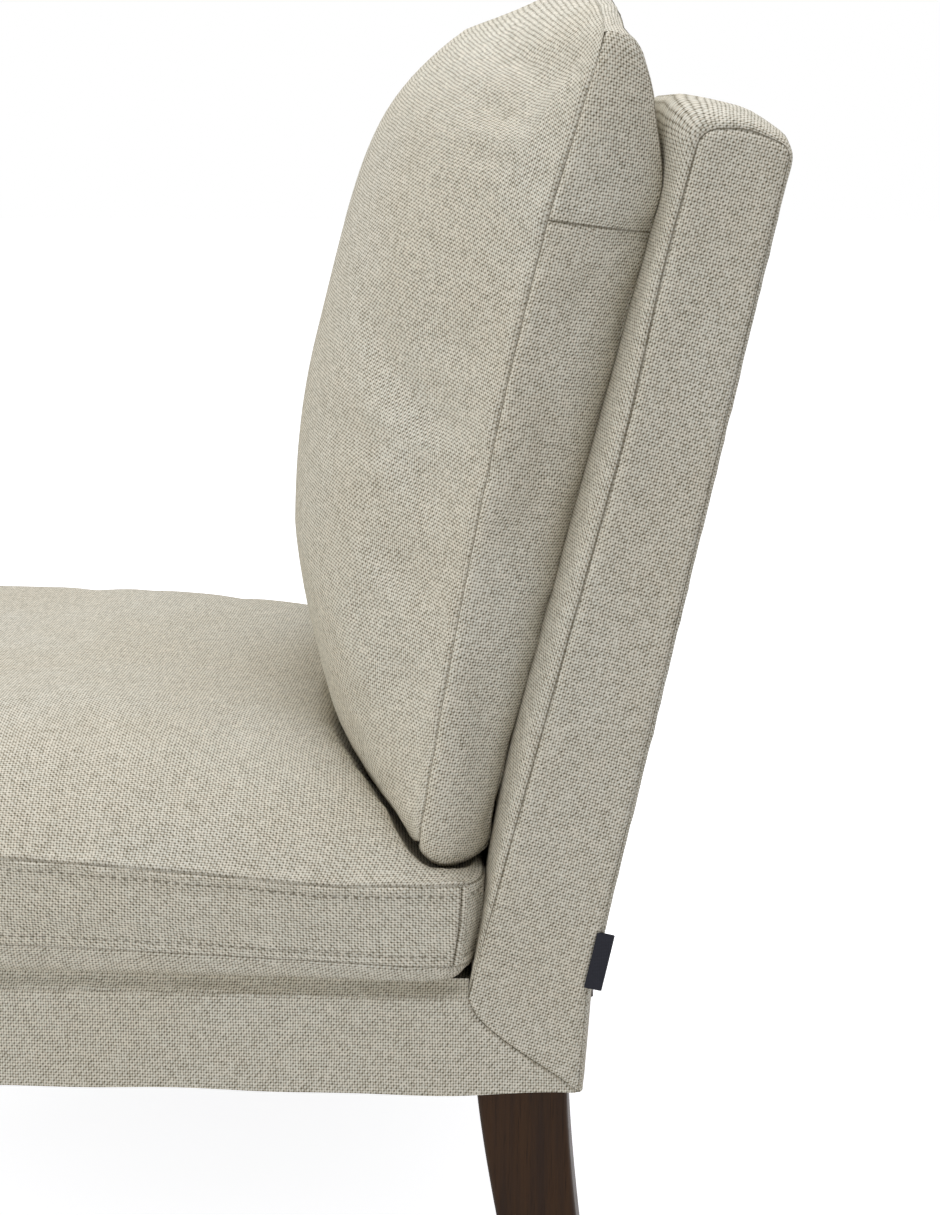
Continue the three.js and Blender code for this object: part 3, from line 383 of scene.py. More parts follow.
def linenFinish(name, stitchRows=(), seamShadeDepth=0.62):
    # plain weave: across each thread a cosine dome; the product of the two domes, whose sign
    # changes from thread to thread, says which thread is on top, and the same product half a
    # thread further on deepens every second gap between threads; low values are the gaps. The
    # colour follows the height: painted shade in the gaps, painted highlight on the crowns
    c = linen
    f = Finish(name)
    u, v = f.uv("weave")
    place = f.vector(u, v)
    warpRate, weftRate = c["wanderRates"]
    a = (u + (f.noise(place, warpRate, 1.0) - 0.5) * c["wander"]) / c["warpPitch"]
    b = (v + (f.noise(f.vector(v, u, 3.0), weftRate, 1.0) - 0.5) * c["wander"]) / c["weftPitch"]
    slubWarp = f.noise(f.vector(a.floor() * 3.7, v * c["slubRate"]), 1.0, 1.0)
    slubWeft = f.noise(f.vector(b.floor() * 5.3, u * c["slubRate"], 7.0), 1.0, 1.0)
    domeWarp, domeWeft = ((a - 0.5) * math.pi).cos(), ((b - 0.5) * math.pi).cos()
    over = domeWarp * domeWeft
    deeper = (a * math.pi).cos() * (b * math.pi).cos()
    threads = (domeWarp.absolute().power(c["domePower"]) * c["warpHeight"]
               + domeWeft.absolute().power(c["domePower"]) * c["weftHeight"])
    slubs = (slubWarp + slubWeft - 1.0) * c["slubHeight"]
    height = threads + over * c["crossing"] + deeper * c["deepHoles"] + slubs
    atHoles = f.random(f.vector((a + 0.5).floor(), (b + 0.5).floor()))
    atCrossings = f.random(f.vector(a.floor(), b.floor(), 5.0))
    grain = f.noise(place, c["grainRate"], 1.0) - 0.5
    uneven = height + grain * c["grain"] + (atHoles + atCrossings - 1.0) * c["scatter"]
    warpTone = f.mix(slubWarp.ramp(*c["slubRange"]), c["warm"], c["crown"])
    weftTone = f.mix(slubWeft.ramp(*c["slubRange"]), c["cool"], c["crown"])
    crown = f.mix(over.ramp(-0.2, 0.2), warpTone, weftTone)
    # painted shade in the low places and painted highlight on the high ones, both from the height
    low = f.mix(uneven.ramp(*c["holeRange"]), c["hole"], c["valley"])
    shaded = f.mix(uneven.ramp(*c["crownRange"]), low, crown)
    patches = f.noise(place, c["patchRate"], 2.0).ramp(0.3, 0.7)
    shaded = f.mix(1.0, shaded, f.mix(patches, c["patch"], c["clear"]), "MULTIPLY")
    # painted shade: a dark line in the seam groove, its width varied by noise along the seam, and rows of dark stitch
    # dots beside it
    signed, away = f.uv("seam")
    along = signed.absolute()
    shadeSpread = f.noise(f.vector(along, 0.0, 2.0), c["shadeSpreadRate"], 1.0)
    line = (away / (shadeSpread * c["seamShade"])).ramp(*c["seamRange"], seamShadeDepth, 0.0)
    shaded = f.mix(line, shaded, c["seamShadeTone"])
    sunk = line * -c["seamSunk"]
    for rowAway in stitchRows:
        beat = ((along / c["stitchPitch"]).fract() - 0.5) * c["stitchPitch"] * c["stitchSquash"]
        off = away - rowAway
        reach = (beat * beat + off * off).power(0.5)
        dot = reach.ramp(*c["stitchRange"], c["stitchShade"], 0.0) * signed.isOver(0.0)
        shaded = f.mix(dot, shaded, c["seamShadeTone"])
        sunk = sunk - dot
    normal = f.bump(height + sunk, c["bumpHeight"], 0.8)
    return f.finish(shaded, height.ramp(0.0, 0.8, 1.0, c["roughness"]), normal, **{"Specular IOR Level": c["specular"]})


plainLinen = linenFinish("linen")
# lighter painted seam shade on the topstitched cushion, with a row of painted stitch dots 6.6 mm from the stitched
# seams
stitchedLinen = linenFinish("linen_topstitched", (0.0066,), 0.4)
print("linen ready")


# Seam shapes: how far the cloth stands out at a distance from a sewn edge

seamShape = {
    "depth": 0.0016, "width": 0.0016, "swell": 0.0007, "swellAt": 0.006, "swellWidth": 0.004,
    "bead": 0.0017, "beadAt": 0.0024, "beadWidth": 0.0019, "beadDip": 0.0006, "dipWidth": 0.0006,
    "flange": 0.0016, "flangeEnd": (0.0064, 0.0090), "flangeStart": (-0.0001, 0.0008),
    "stitchDip": 0.0013, "stitchAt": 0.0055, "stitchWidth": 0.0011,
}


def plainSeam(away):
    # a narrow bell-shaped groove, with a slight swell beside it
    c = seamShape
    return c["swell"] * bell(away, c["swellAt"], c["swellWidth"]) - c["depth"] * bell(away, 0, c["width"])


def rolledSeam(away):
    # the cloth rolls over the seam: a bell-shaped bead close to it
    c = seamShape
    return c["bead"] * bell(away, c["beadAt"], c["beadWidth"]) - c["beadDip"] * bell(away, 0, c["dipWidth"])


def flangeSeam(away):
    # seam allowance turned to this side: a raised strip with a stitched dip in it
    c = seamShape
    strip = c["flange"] * (1 - smoothStep(away, *c["flangeEnd"])) * smoothStep(away, *c["flangeStart"])
    return strip - c["stitchDip"] * bell(away, c["stitchAt"], c["stitchWidth"])


def puckers(sewing, amount, size, reach, seed):
    # small wrinkles that start at the seams and fade with distance from them
    wave = smoothNoise(sewing.vertices, size, seed)
    return amount * wave * np.exp(-sewing.away / reach) * smoothStep(sewing.away, 0.0, 0.003)


# Cloth simulation: a coarse mesh of the same panels is inflated, and the fine grids take its moves

inflation = {
    "quality": 7, "mass": 0.2, "damping": 2.0, "pressure": 4.0, "frames": 20, "stiffness": 60.0,
    "ease": 0.0, "seamShrink": 0.05, "seamReach": 0.004,
    "cell": 0.010, "inset": 0.010, "hold": 0.06,       # size of a cell, and how the seams hold the cloth
    "broad": 5.0, "heldBlur": 3.0, "heldFade": 2.5,    # size of a fold in cells, and calm beside what rests
    "calmEnd": (-0.98, -0.6),                          # where folds fade in above a panel's lower end, -1
}


def cubicShares(values, coarse, fine, axis):
    # Catmull-Rom curve through evenly spaced samples, read at other places
    values = np.moveaxis(values, axis, 0)
    values = np.concatenate([2 * values[:1] - values[1:2], values, 2 * values[-1:] - values[-2:-1]])
    place = (fine - coarse[0]) / (coarse[1] - coarse[0])
    base = np.clip(np.floor(place).astype(int), 0, len(coarse) - 2)
    t = (place - base).reshape((-1,) + (1,) * (values.ndim - 1))
    p0, p1, p2, p3 = (values[base + k] for k in range(4))
    curve = p1 + 0.5 * t * (p2 - p0 + t * (2 * p0 - 5 * p1 + 4 * p2 - p3 + t * (3 * (p1 - p2) + p3 - p0)))
    return np.moveaxis(curve, 0, axis)


def inflate(sewing, settings, still):
    # runs Cloth on the sewn mesh and gives how far each vertex moved, at most the cap
    mesh = makeMesh(sewing.name + "_sim", sewing.vertices, sewing.quads)
    body = bpy.data.objects.new(mesh.name, mesh)
    bpy.context.scene.collection.objects.link(body)
    seams, pins = body.vertex_groups.new(name="seams"), body.vertex_groups.new(name="pins")
    seams.add(np.nonzero(sewing.away < inflation["seamReach"])[0].tolist(), 1.0, "REPLACE")
    pins.add(np.nonzero(still)[0].tolist(), 1.0, "REPLACE")
    cloth = body.modifiers.new("cloth", "CLOTH")
    how = cloth.settings
    how.quality, how.mass, how.air_damping = inflation["quality"], inflation["mass"], inflation["damping"]
    how.tension_stiffness = how.compression_stiffness = inflation["stiffness"]
    how.shear_stiffness = inflation["stiffness"] / 3
    how.bending_stiffness = settings["bending"]
    how.use_pressure, how.uniform_pressure_force = True, inflation["pressure"]
    how.vertex_group_shrink, how.vertex_group_mass = "seams", "pins"
    how.shrink_min, how.shrink_max = inflation["ease"], inflation["seamShrink"]
    how.effector_weights.gravity = 0.0
    cloth.point_cache.frame_start, cloth.point_cache.frame_end = 1, inflation["frames"]
    for step in range(1, inflation["frames"] + 1):
        bpy.context.scene.frame_set(step)
    done = body.evaluated_get(bpy.context.evaluated_depsgraph_get())
    places = np.zeros(len(mesh.vertices) * 3, np.float32)
    done.data.vertices.foreach_get("co", places)
    move = places.reshape(-1, 3).astype(float) - sewing.vertices
    length = np.maximum(np.linalg.norm(move, axis=1, keepdims=True), 1e-9)
    move *= np.minimum(1, settings["cap"] / length)
    bpy.context.scene.frame_set(1)
    bpy.data.objects.remove(body)
    bpy.data.meshes.remove(mesh)
    print(sewing.name, "cloth moved", round(float(length.max() * 1000), 1), "mm at most,",
          round(float(length.mean() * 1000), 1), "on average")
    return move


def wrinkles(change, size):
    # a grid of moves less its Gaussian mean over size cells, which leaves the folds
    smoothed = change
    for axis in (0, 1):
        place = np.arange(change.shape[axis])
        weights = np.exp(-0.5 * ((place[:, None] - place[None, :]) / size) ** 2)
        weights /= weights.sum(axis=1, keepdims=True)
        smoothed = np.moveaxis(np.tensordot(weights, smoothed, (1, axis)), 0, axis)
    return change - smoothed


def cushionGrids(name, panels, coarse, fine, settings, isStill):
    # sews coarse panels a little inside their target, inflates them, and gives the fine panels
    # with the folds added; coarse and fine hold the two sample lists of each panel
    shapes = {label: make(*fine[label]) for label, (make, seams, flip) in panels.items()}
    sewing = Sewing(name)
    for label, (make, seams, flip) in panels.items():
        sewing.panel(label, make(*coarse[label]), seams, flip=flip)
    sewing.sew()
    target = sewing.vertices.copy()
    still = isStill(sewing.vertices)
    free = smoothStep(sewing.away, 0.0, inflation["hold"])
    sewing.push(-inflation["inset"] * free * ~still)
    move = inflate(sewing, settings, still) + sewing.vertices - target
    for label in panels:
        rows, columns = coarse[label]
        change = wrinkles(sewing.onPanel(label, move), inflation["broad"]) * sewing.onPanel(label, free)
        held = sewing.onPanel(label, still.astype(float))
        held = held - wrinkles(held, inflation["heldBlur"])
        change = change * np.clip(1 - inflation["heldFade"] * held, 0, 1) * settings["folds"].get(label, 1.0)
        if label in settings["calmEnds"]:
            change = change * smoothStep(np.reshape(rows, (-1, 1, 1)), *inflation["calmEnd"])
        print(name, label, "folds", round(float(np.linalg.norm(change, axis=-1).max() * 1000), 1), "mm")
        change = cubicShares(change, rows, fine[label][0], 0)
        shapes[label] = shapes[label] + cubicShares(change, columns, fine[label][1], 1)
    return shapes


# Back cushion

backCushion = {
    "halfWidth": 0.303, "low": 0.076, "high": 0.610, "cornerDrop": 0.028, "sideDraw": 0.006,
    "rearGap": 0.0012, "crownOffset": 0.213, "ridgeLow": 0.056, "ridgeHigh": 0.077,
    "topSeam": 0.100, "turnIn": 0.026, "lowTurnIn": 0.005, "gusset": 0.467, "topBoxing": 0.012,
    "midLift": 0.0135, "zipOffset": 0.0389, "zipDepth": 0.0034, "gussetTilt": 0.0060,
    "acrossPower": 3, "highPower": 4.6, "rearPower": 6, "rearHighPower": 3.5, "closing": 4,
    "lowPowers": (2, 22, 0.6),                          # early power, late power, share of the early one
    "cornerPower": 24, "topCornerShare": 0.02, "sideBulge": 0.003, "lowBulge": 0.014, "topBulge": 0.004,
    "boxingWidth": 0.062, "boxingTurn": 2.6, "edgePower": 16, "bulgeEnds": (0.205, 0.270),
    "liftEnds": (0.200, 0.262), "zipWidth": 0.0078, "zipEnds": (0.190, 0.198), "gussetReach": 0.05,
    "cap": 0.026, "bending": 1.0, "folds": {"rear": 0.3, "top": 0.5},
    "calmEnds": ("front",),                             # panels whose lower folds fade out
    "faintSeam": 0.0005, "flatTop": (0.955, 0.985), "rearSeamShare": 0.3, "sideSeamFade": (0.5, 0.8),
    "puckers": [(0.0007, 0.018, 0.009, 5), (0.0013, 0.036, 0.026, 8)],     # amount, size, reach, seed
    # creases in the front near the side seams: distance from the middle, rise, length, width, depth, tilt
    "creases": [(0.235, 0.552, 0.036, 0.007, 0.0036, 0.10), (0.240, 0.518, 0.032, 0.009, 0.0042, -0.12),
                (0.262, 0.492, 0.024, 0.007, 0.0030, 0.05), (0.232, 0.306, 0.036, 0.010, 0.0040, 0.15),
                (0.255, 0.250, 0.028, 0.008, 0.0024, -0.10), (0.250, 0.150, 0.026, 0.008, 0.0026, 0.20)],
}


def backPadding(rise):
    # padding of the inside back: a quarter sine over its first stretch, then full, and a roll
    # forward near the top
    reach = np.clip(rise * math.cos(chair["frontRake"]) / 0.190, 0, 1)
    return 0.018 * np.sin(reach * math.pi / 2) + 0.010 * smoothStep(rise, 0.490, 0.545)


def cushionTaper(rise):
    c = backCushion
    return np.clip((rise - c["gusset"]) / (c["high"] - c["cornerDrop"] - c["gusset"]), 0, 1)


def cushionRidge(x, rise):
    # offset of the front seam: grows as a quarter sine up to the gusset, then along the top arch
    c = backCushion
    share = np.clip((rise - c["low"]) / (c["gusset"] - c["low"]), 0, 1)
    side = blendValues(c["ridgeLow"], c["ridgeHigh"], np.sin(share * math.pi / 2)) - 0.005 * cushionTaper(rise)
    across = np.clip(1 - (x / c["halfWidth"]) ** 2, 0, 1)
    return side + (c["topSeam"] - c["ridgeHigh"]) * cushionTaper(rise) * across


def rearSeam(x, s, rise):
    # offset of the rear seam: against the back, closer where the back rolls away beside it, and
    # closing on the front seam towards the top
    c = backCushion
    beside = backPadding(rise) + c["rearGap"] + 0.001 - 0.0035 * np.abs(s) ** 8 * smoothStep(rise, 0.12, 0.20)
    return blendValues(beside, cushionRidge(x, rise) - c["topBoxing"], cushionTaper(rise) ** c["closing"])


def cushionOutline(s, u, rear):
    # square of parameters to the seam outline: drawn-in sides, arched top, corners rounded by
    # powers; the rear outline is turned in below the gusset
    c = backCushion
    share = (u + 1) / 2
    corner = np.where(u < 0, 1 / (c["cornerPower"] + 1), c["topCornerShare"])
    half = c["halfWidth"] - c["sideDraw"] * np.sin(share * math.pi) - 0.001
    arch = c["high"] - c["cornerDrop"] * s ** 2
    low = c["low"] + rear * c["lowTurnIn"]
    middle = (low + arch) / 2
    rise = middle + (arch - low) * (share - 0.5) * (1 - corner * np.abs(s) ** c["cornerPower"])
    half = half - rear * c["turnIn"] * (1 - cushionTaper(rise))
    x = s * half * (1 - corner * np.abs(u) ** c["cornerPower"])
    return x, rise


def cushionFront(u, s):
    # ridge plus a crown that is the product of an across profile and an up profile
    c = backCushion
    u, s = np.broadcast_arrays(u[:, None], s[None, :])
    x, rise = cushionOutline(s, u, 0)
    ridge = cushionRidge(x, rise)
    early, late, part = c["lowPowers"]
    below = part * np.abs(u) ** early + (1 - part) * np.abs(u) ** late
    upCrown = 1 - np.where(u < 0, below, np.abs(u) ** c["highPower"])
    crown = (1 - np.abs(s) ** c["acrossPower"]) * upCrown
    return onBack(x, rise, ridge + (c["crownOffset"] - ridge) * crown)


def cushionRear(u, s):
    # against the padded back, rising to the rear seam near its edges
    c = backCushion
    u, s = np.broadcast_arrays(u[:, None], s[None, :])
    x, rise = cushionOutline(s, u, 1)
    flat = backPadding(rise) + c["rearGap"]
    seam = rearSeam(x, s, rise)
    upPower = np.where(u > 0, c["rearHighPower"], c["rearPower"])
    edge = 1 - (1 - np.abs(s) ** c["rearPower"]) * (1 - np.abs(u) ** upPower)
    return onBack(x, rise, flat + (seam - flat) * edge)


def cushionBoxing(s, u, share):
    # from the front seam to the rear seam: the width closes late, by a power of the share, and a
    # parabola swells the cloth outwards
    c = backCushion
    x0, rise0 = cushionOutline(s, u, 0)
    x1, rise1 = cushionOutline(s, u, 1)
    ridge = cushionRidge(x0, rise0)
    seam = rearSeam(x1, s, rise1)
    x = x0 + (x1 - x0) * share ** c["boxingTurn"]
    rise = rise0 + (rise1 - rise0) * share
    offset = ridge + (seam - ridge) * share
    width = np.clip(np.abs(ridge - seam) / 0.04, 0, 1)
    swell = 4 * share * (1 - share) * width
    atSide, atEnd = np.abs(s) ** c["edgePower"], np.abs(u) ** c["edgePower"]
    x = x + np.sign(s) * atSide * c["sideBulge"] * swell
    ends = smoothStep(np.abs(x), *c["bulgeEnds"])
    hollow = np.minimum(1, 5 * share * (1 - share)) * (1 - smoothStep(np.abs(x), *c["liftEnds"]))
    rise = rise + np.where(u < 0, atEnd, 0) * (c["midLift"] * hollow - c["lowBulge"] * swell * ends)
    channel = bell(offset, c["zipOffset"], c["zipWidth"], 4) * (1 - smoothStep(np.abs(x), *c["zipEnds"]))
    rise = rise + c["zipDepth"] * channel * smoothStep(-u, 0.99, 1.0)
    rise = rise + c["gussetTilt"] * share * bell(rise, c["gusset"], c["gussetReach"]) * atSide
    rise = rise + np.where(u > 0, atEnd, 0) * c["topBulge"] * swell
    return onBack(x, rise, offset)


def cushionSide(side):
    return lambda u, share: cushionBoxing(*np.broadcast_arrays(side, u[:, None], share[None, :]))


def cushionEdge(end):
    return lambda share, s: cushionBoxing(*np.broadcast_arrays(s[None, :], end, share[:, None]))


def gussetShare():
    # parameter at which the side seam passes the gusset
    u = np.linspace(0, 1, 400)
    return float(np.interp(backCushion["gusset"], cushionOutline(1.0, u, 0)[1], u))


def makeBackCushion():
    c = backCushion
    width, height = 2 * c["halfWidth"], c["high"] - c["cornerDrop"] - c["low"]
    turn = gussetShare()
    panels = {
        "front": (cushionFront, "abcd", False), "rear": (cushionRear, "abcd", True),
        "right_low": (cushionSide(1.0), "bcd", False), "right_high": (cushionSide(1.0), "acd", False),
        "left_low": (cushionSide(-1.0), "bcd", True), "left_high": (cushionSide(-1.0), "acd", True),
        "top": (cushionEdge(1.0), "ab", False), "bottom": (cushionEdge(-1.0), "ab", True),
    }

    def samples(s, uLow, uHigh, across):
        u = np.concatenate([uLow, uHigh[1:]])
        lists = {"front": (u, s), "rear": (u, s), "top": (across, s), "bottom": (across, s)}
        for side in ("right", "left"):
            lists[side + "_low"], lists[side + "_high"] = (uLow, across), (uHigh, across)
        return lists

    fineS = spacing([0, width]) / width * 2 - 1
    fineLow = spacing([0, height * (turn + 1) / 2]) / height * 2 - 1
    fineHigh = spacing([height * (turn + 1) / 2, height]) / height * 2 - 1
    fine = samples(fineS, fineLow, fineHigh, spacing([0, c["boxingWidth"]]) / c["boxingWidth"])
    cell = inflation["cell"]
    even = lambda low, high, length: np.linspace(low, high, int(round(length / cell)) + 1)
    # one even step over the whole height, so that the gusset falls on a sample
    total = int(round(height / cell))
    lowCount = int(round(total * (turn + 1) / 2))
    coarse = samples(even(-1, 1, width), np.linspace(-1, turn, lowCount + 1),
                     np.linspace(turn, 1, total - lowCount + 1), even(0, 1, 0.06))
    whole = np.concatenate([coarse["right_low"][0], coarse["right_high"][0][1:]])
    for label in ("front", "rear"):
        coarse[label] = (whole, coarse[label][1])
    grids = cushionGrids("back_cushion_cloth", panels, coarse, fine, c, backCushionRests)
    sewing = Sewing("back_cushion_cloth")
    topEdges = {"front": "b", "rear": "b", "top": "ab"}
    for label, (make, seams, flip) in panels.items():
        large = label in ("front", "rear")
        # the seams along the top get a fainter painted seam shade
        faint = {mark: c["faintSeam"] for mark in topEdges.get(label, "")}
        sewing.panel(label, grids[label], seams, flip=flip, quiet=faint, alongSides=large)
        # the seams along the top are pulled flat
        rows = smoothStep(fine[label][0], *c["flatTop"]) if large else float(label == "top")
        flatter = 1 - 0.8 * np.reshape(rows, (-1, 1))
        if label == "rear":
            flatter = flatter * c["rearSeamShare"]
        elif label not in ("front", "top", "bottom"):
            flatter = flatter * (1 - 0.7 * smoothStep(fine[label][1], *c["sideSeamFade"]))
        sewing.grids[-1]["lift"] = plainSeam(sewing.grids[-1]["away"]) * flatter
    sewing.sew()
    sewing.push(sewing.lift)
    for row in c["puckers"]:
        sewing.push(puckers(sewing, *row))
    sewing.push(-creaseDepths(sewing.vertices))
    return sewing.build(plainLinen), sewing


def offBack(points):
    # how far up the inside back points are from the deck, and how far in front of it
    y, z = points[:, 1] - chair["footY"], points[:, 2] - chair["deckZ"]
    sine, cosine = math.sin(chair["frontRake"]), math.cos(chair["frontRake"])
    return y * sine + z * cosine, z * sine - y * cosine


def creaseDepths(points):
    # sum of bell-shaped hollows, long across and narrow up, only in front of the side seams
    c = backCushion
    x = np.abs(points[:, 0])
    rise, offset = offBack(points)
    depth = np.zeros(len(points))
    for place, height, length, width, deep, tilt in c["creases"]:
        away = (rise - height - tilt * (x - place)) / width
        depth += deep * np.exp(-away ** 2 - ((x - place) / length) ** 2)
    return depth * smoothStep(offset, c["ridgeLow"], c["ridgeHigh"] + 0.02)


def backCushionRests(points):
    # the part of the rear panel that lies against the back
    c = backCushion
    rise, offset = offBack(points)
    near = offset < backPadding(rise) + c["rearGap"] + 0.004
    below = (rise < c["low"] + c["midLift"] + 0.010) & (np.abs(points[:, 0]) < 0.215)
    return below | near & (np.abs(points[:, 0]) < c["halfWidth"] - c["turnIn"] - 0.012)


backCushionCloth, backSewing = makeBackCushion()
print("back cushion ready", len(backCushionCloth.data.polygons))


# Seat cushion

seatCushion = {
    "halfWidth": 0.308, "front": frontY - 0.0005, "rear": frontY + 0.610,
    "crown": hemZ + 0.219, "low": hemZ + 0.0706, "topSeam": hemZ + 0.134, "topRise": 0.019,
    "lowSeam": hemZ + 0.087, "lowRise": 0.0085,
    "crownPower": 7.4, "curlPower": 60, "sideDraw": 0.005, "cornerPower": 34, "boxingBulge": 0.002, "fall": 0.014,
    "fallRange": (-0.02, 0.75), "rearRise": 0.007, "rearLean": 0.11, "leanFrom": (0.20, 0.29), "edgePower": 30,
    "zipZ": 0.2555, "zipDepth": 0.0048, "zipWidth": 0.0075, "zipEnds": (0.200, 0.208),
    "rearSeam": 0.94,                                   # share of the width between the rear's two seams
    "sideSeam": 0.4,                                    # the side seams' place, in coarse steps from the rear
    "boxingWidth": 0.05, "coarseSteps": 64,
    "cap": 0.024, "bending": 1.2, "folds": {"top": 0.3}, "calmEnds": (),
    "puckers": (0.0010, 0.035, 0.016, 3), "clearance": 0.0012, "midClearance": 0.0030, "midHalf": 0.20,
}


def seamRise(t):
    # the boxing seams rise from the rear to the front by a stretch of a sine
    share = (1 - t) / 2
    return np.sin((share - 0.1) * math.pi / 1.3)


def seatOutline(s, t):
    # square of parameters to the plan: drawn-in sides, corners rounded by powers
    c = seatCushion
    corner = 1 / (c["cornerPower"] + 1)
    middle, half = (c["front"] + c["rear"]) / 2, (c["rear"] - c["front"]) / 2
    x = s * (c["halfWidth"] - c["sideDraw"] * (1 - t ** 2)) * (1 - corner * np.abs(t) ** c["cornerPower"])
    y = middle + t * half * (1 - corner * np.abs(s) ** c["cornerPower"])
    return x, y


def seatPoint(s, t, z):
    # the rear corners lean back with the chair's back
    c = seatCushion
    x, y = seatOutline(s, t)
    lean = c["rearLean"] * (z - c["low"]) * smoothStep(np.abs(x), *c["leanFrom"]) * smoothStep(t, 0.5, 1.0)
    return np.stack(np.broadcast_arrays(x, y + lean, z), axis=-1)


def topSeamZ(t):
    c = seatCushion
    return c["topSeam"] + c["topRise"] * seamRise(t) + c["rearRise"] * smoothStep(t, 0.7, 1.0)


def edgeShare(s, t, power):
    # 0 over the middle of the cushion, 1 at its edge
    return 1 - (1 - np.abs(s) ** power) * (1 - np.abs(t) ** power)


def seatTop(t, s):
    # crown, lower towards the back, falling to the seam by a high power of the distance to the edge
    c = seatCushion
    t, s = np.broadcast_arrays(t[:, None], s[None, :])
    seam, crown = topSeamZ(t), c["crown"] - c["fall"] * smoothStep(t, *c["fallRange"])
    return seatPoint(s, t, crown - (crown - seam) * edgeShare(s, t, c["crownPower"]))


def seatUnder(t, s):
    # flat on the deck, curling up to the lower seam at the edge
    c = seatCushion
    t, s = np.broadcast_arrays(t[:, None], s[None, :])
    seam = c["lowSeam"] + c["lowRise"] * seamRise(t)
    return seatPoint(s, t, c["low"] + (seam - c["low"]) * edgeShare(s, t, c["curlPower"]))


def seatBoxing(s, t, share):
    # straight down from seam to seam, with a slight swell; the rear has a channel for the zip
    c = seatCushion
    top, low = topSeamZ(t), c["lowSeam"] + c["lowRise"] * seamRise(t)
    straight = seatPoint(s, t, top + (low - top) * share)
    channel = bell(straight[..., 2], c["zipZ"], c["zipWidth"], 4)
    channel = channel * (1 - smoothStep(np.abs(straight[..., 0]), *c["zipEnds"]))
    straight[..., 1] -= channel * c["zipDepth"] * smoothStep(t, 0.99, 1.0)
    swell = c["boxingBulge"] * 4 * share * (1 - share)
    straight[..., 0] += np.sign(s) * np.abs(s) ** c["edgePower"] * swell
    straight[..., 1] += np.sign(t) * np.abs(t) ** c["edgePower"] * swell
    return straight


def seatSide(side):
    return lambda t, share: seatBoxing(*np.broadcast_arrays(side, t[:, None], share[None, :]))


def seatEnd(end):
    return lambda share, s: seatBoxing(*np.broadcast_arrays(s[None, :], end, share[:, None]))


def underside(vertices, cell=0.0045):
    # lowest point of a shape over each cell of the plan, widened by one cell on each side
    low = vertices[:, :2].min(axis=0) - 2 * cell
    size = np.ceil((vertices[:, :2].max(axis=0) + 2 * cell - low) / cell).astype(int) + 1
    spots = np.floor((vertices[:, :2] - low) / cell).astype(int)
    heights = np.full(size, 9.0)
    np.minimum.at(heights, (spots[:, 0], spots[:, 1]), vertices[:, 2])
    wide = heights.copy()
    for dx in (-1, 0, 1):
        for dy in (-1, 0, 1):
            wide = np.minimum(wide, np.roll(heights, (dx, dy), axis=(0, 1)))
    return low, cell, wide


def pressDown(points, under, clearance):
    # lowers what would reach into the shape above
    low, cell, heights = under
    place = (points[..., :2] - low) / cell - 0.5
    base = np.clip(np.floor(place).astype(int), 0, np.array(heights.shape) - 2)
    part = np.clip(place - base, 0, 1)
    inside = np.all((place >= 0) & (place < np.array(heights.shape) - 1), axis=-1)
    x, y = base[..., 0], base[..., 1]
    across = heights[x, y] * (1 - part[..., 0]) + heights[x + 1, y] * part[..., 0]
    beyond = heights[x, y + 1] * (1 - part[..., 0]) + heights[x + 1, y + 1] * part[..., 0]
    limit = np.where(inside, across * (1 - part[..., 1]) + beyond * part[..., 1], 9.0) - clearance
    points = points.copy()
    points[..., 2] = np.minimum(points[..., 2], limit)
    return points


def seatCushionRests(points):
    c = seatCushion
    return (points[:, 2] < c["low"] + 0.003) | (points[:, 1] > c["rear"] - 0.008)


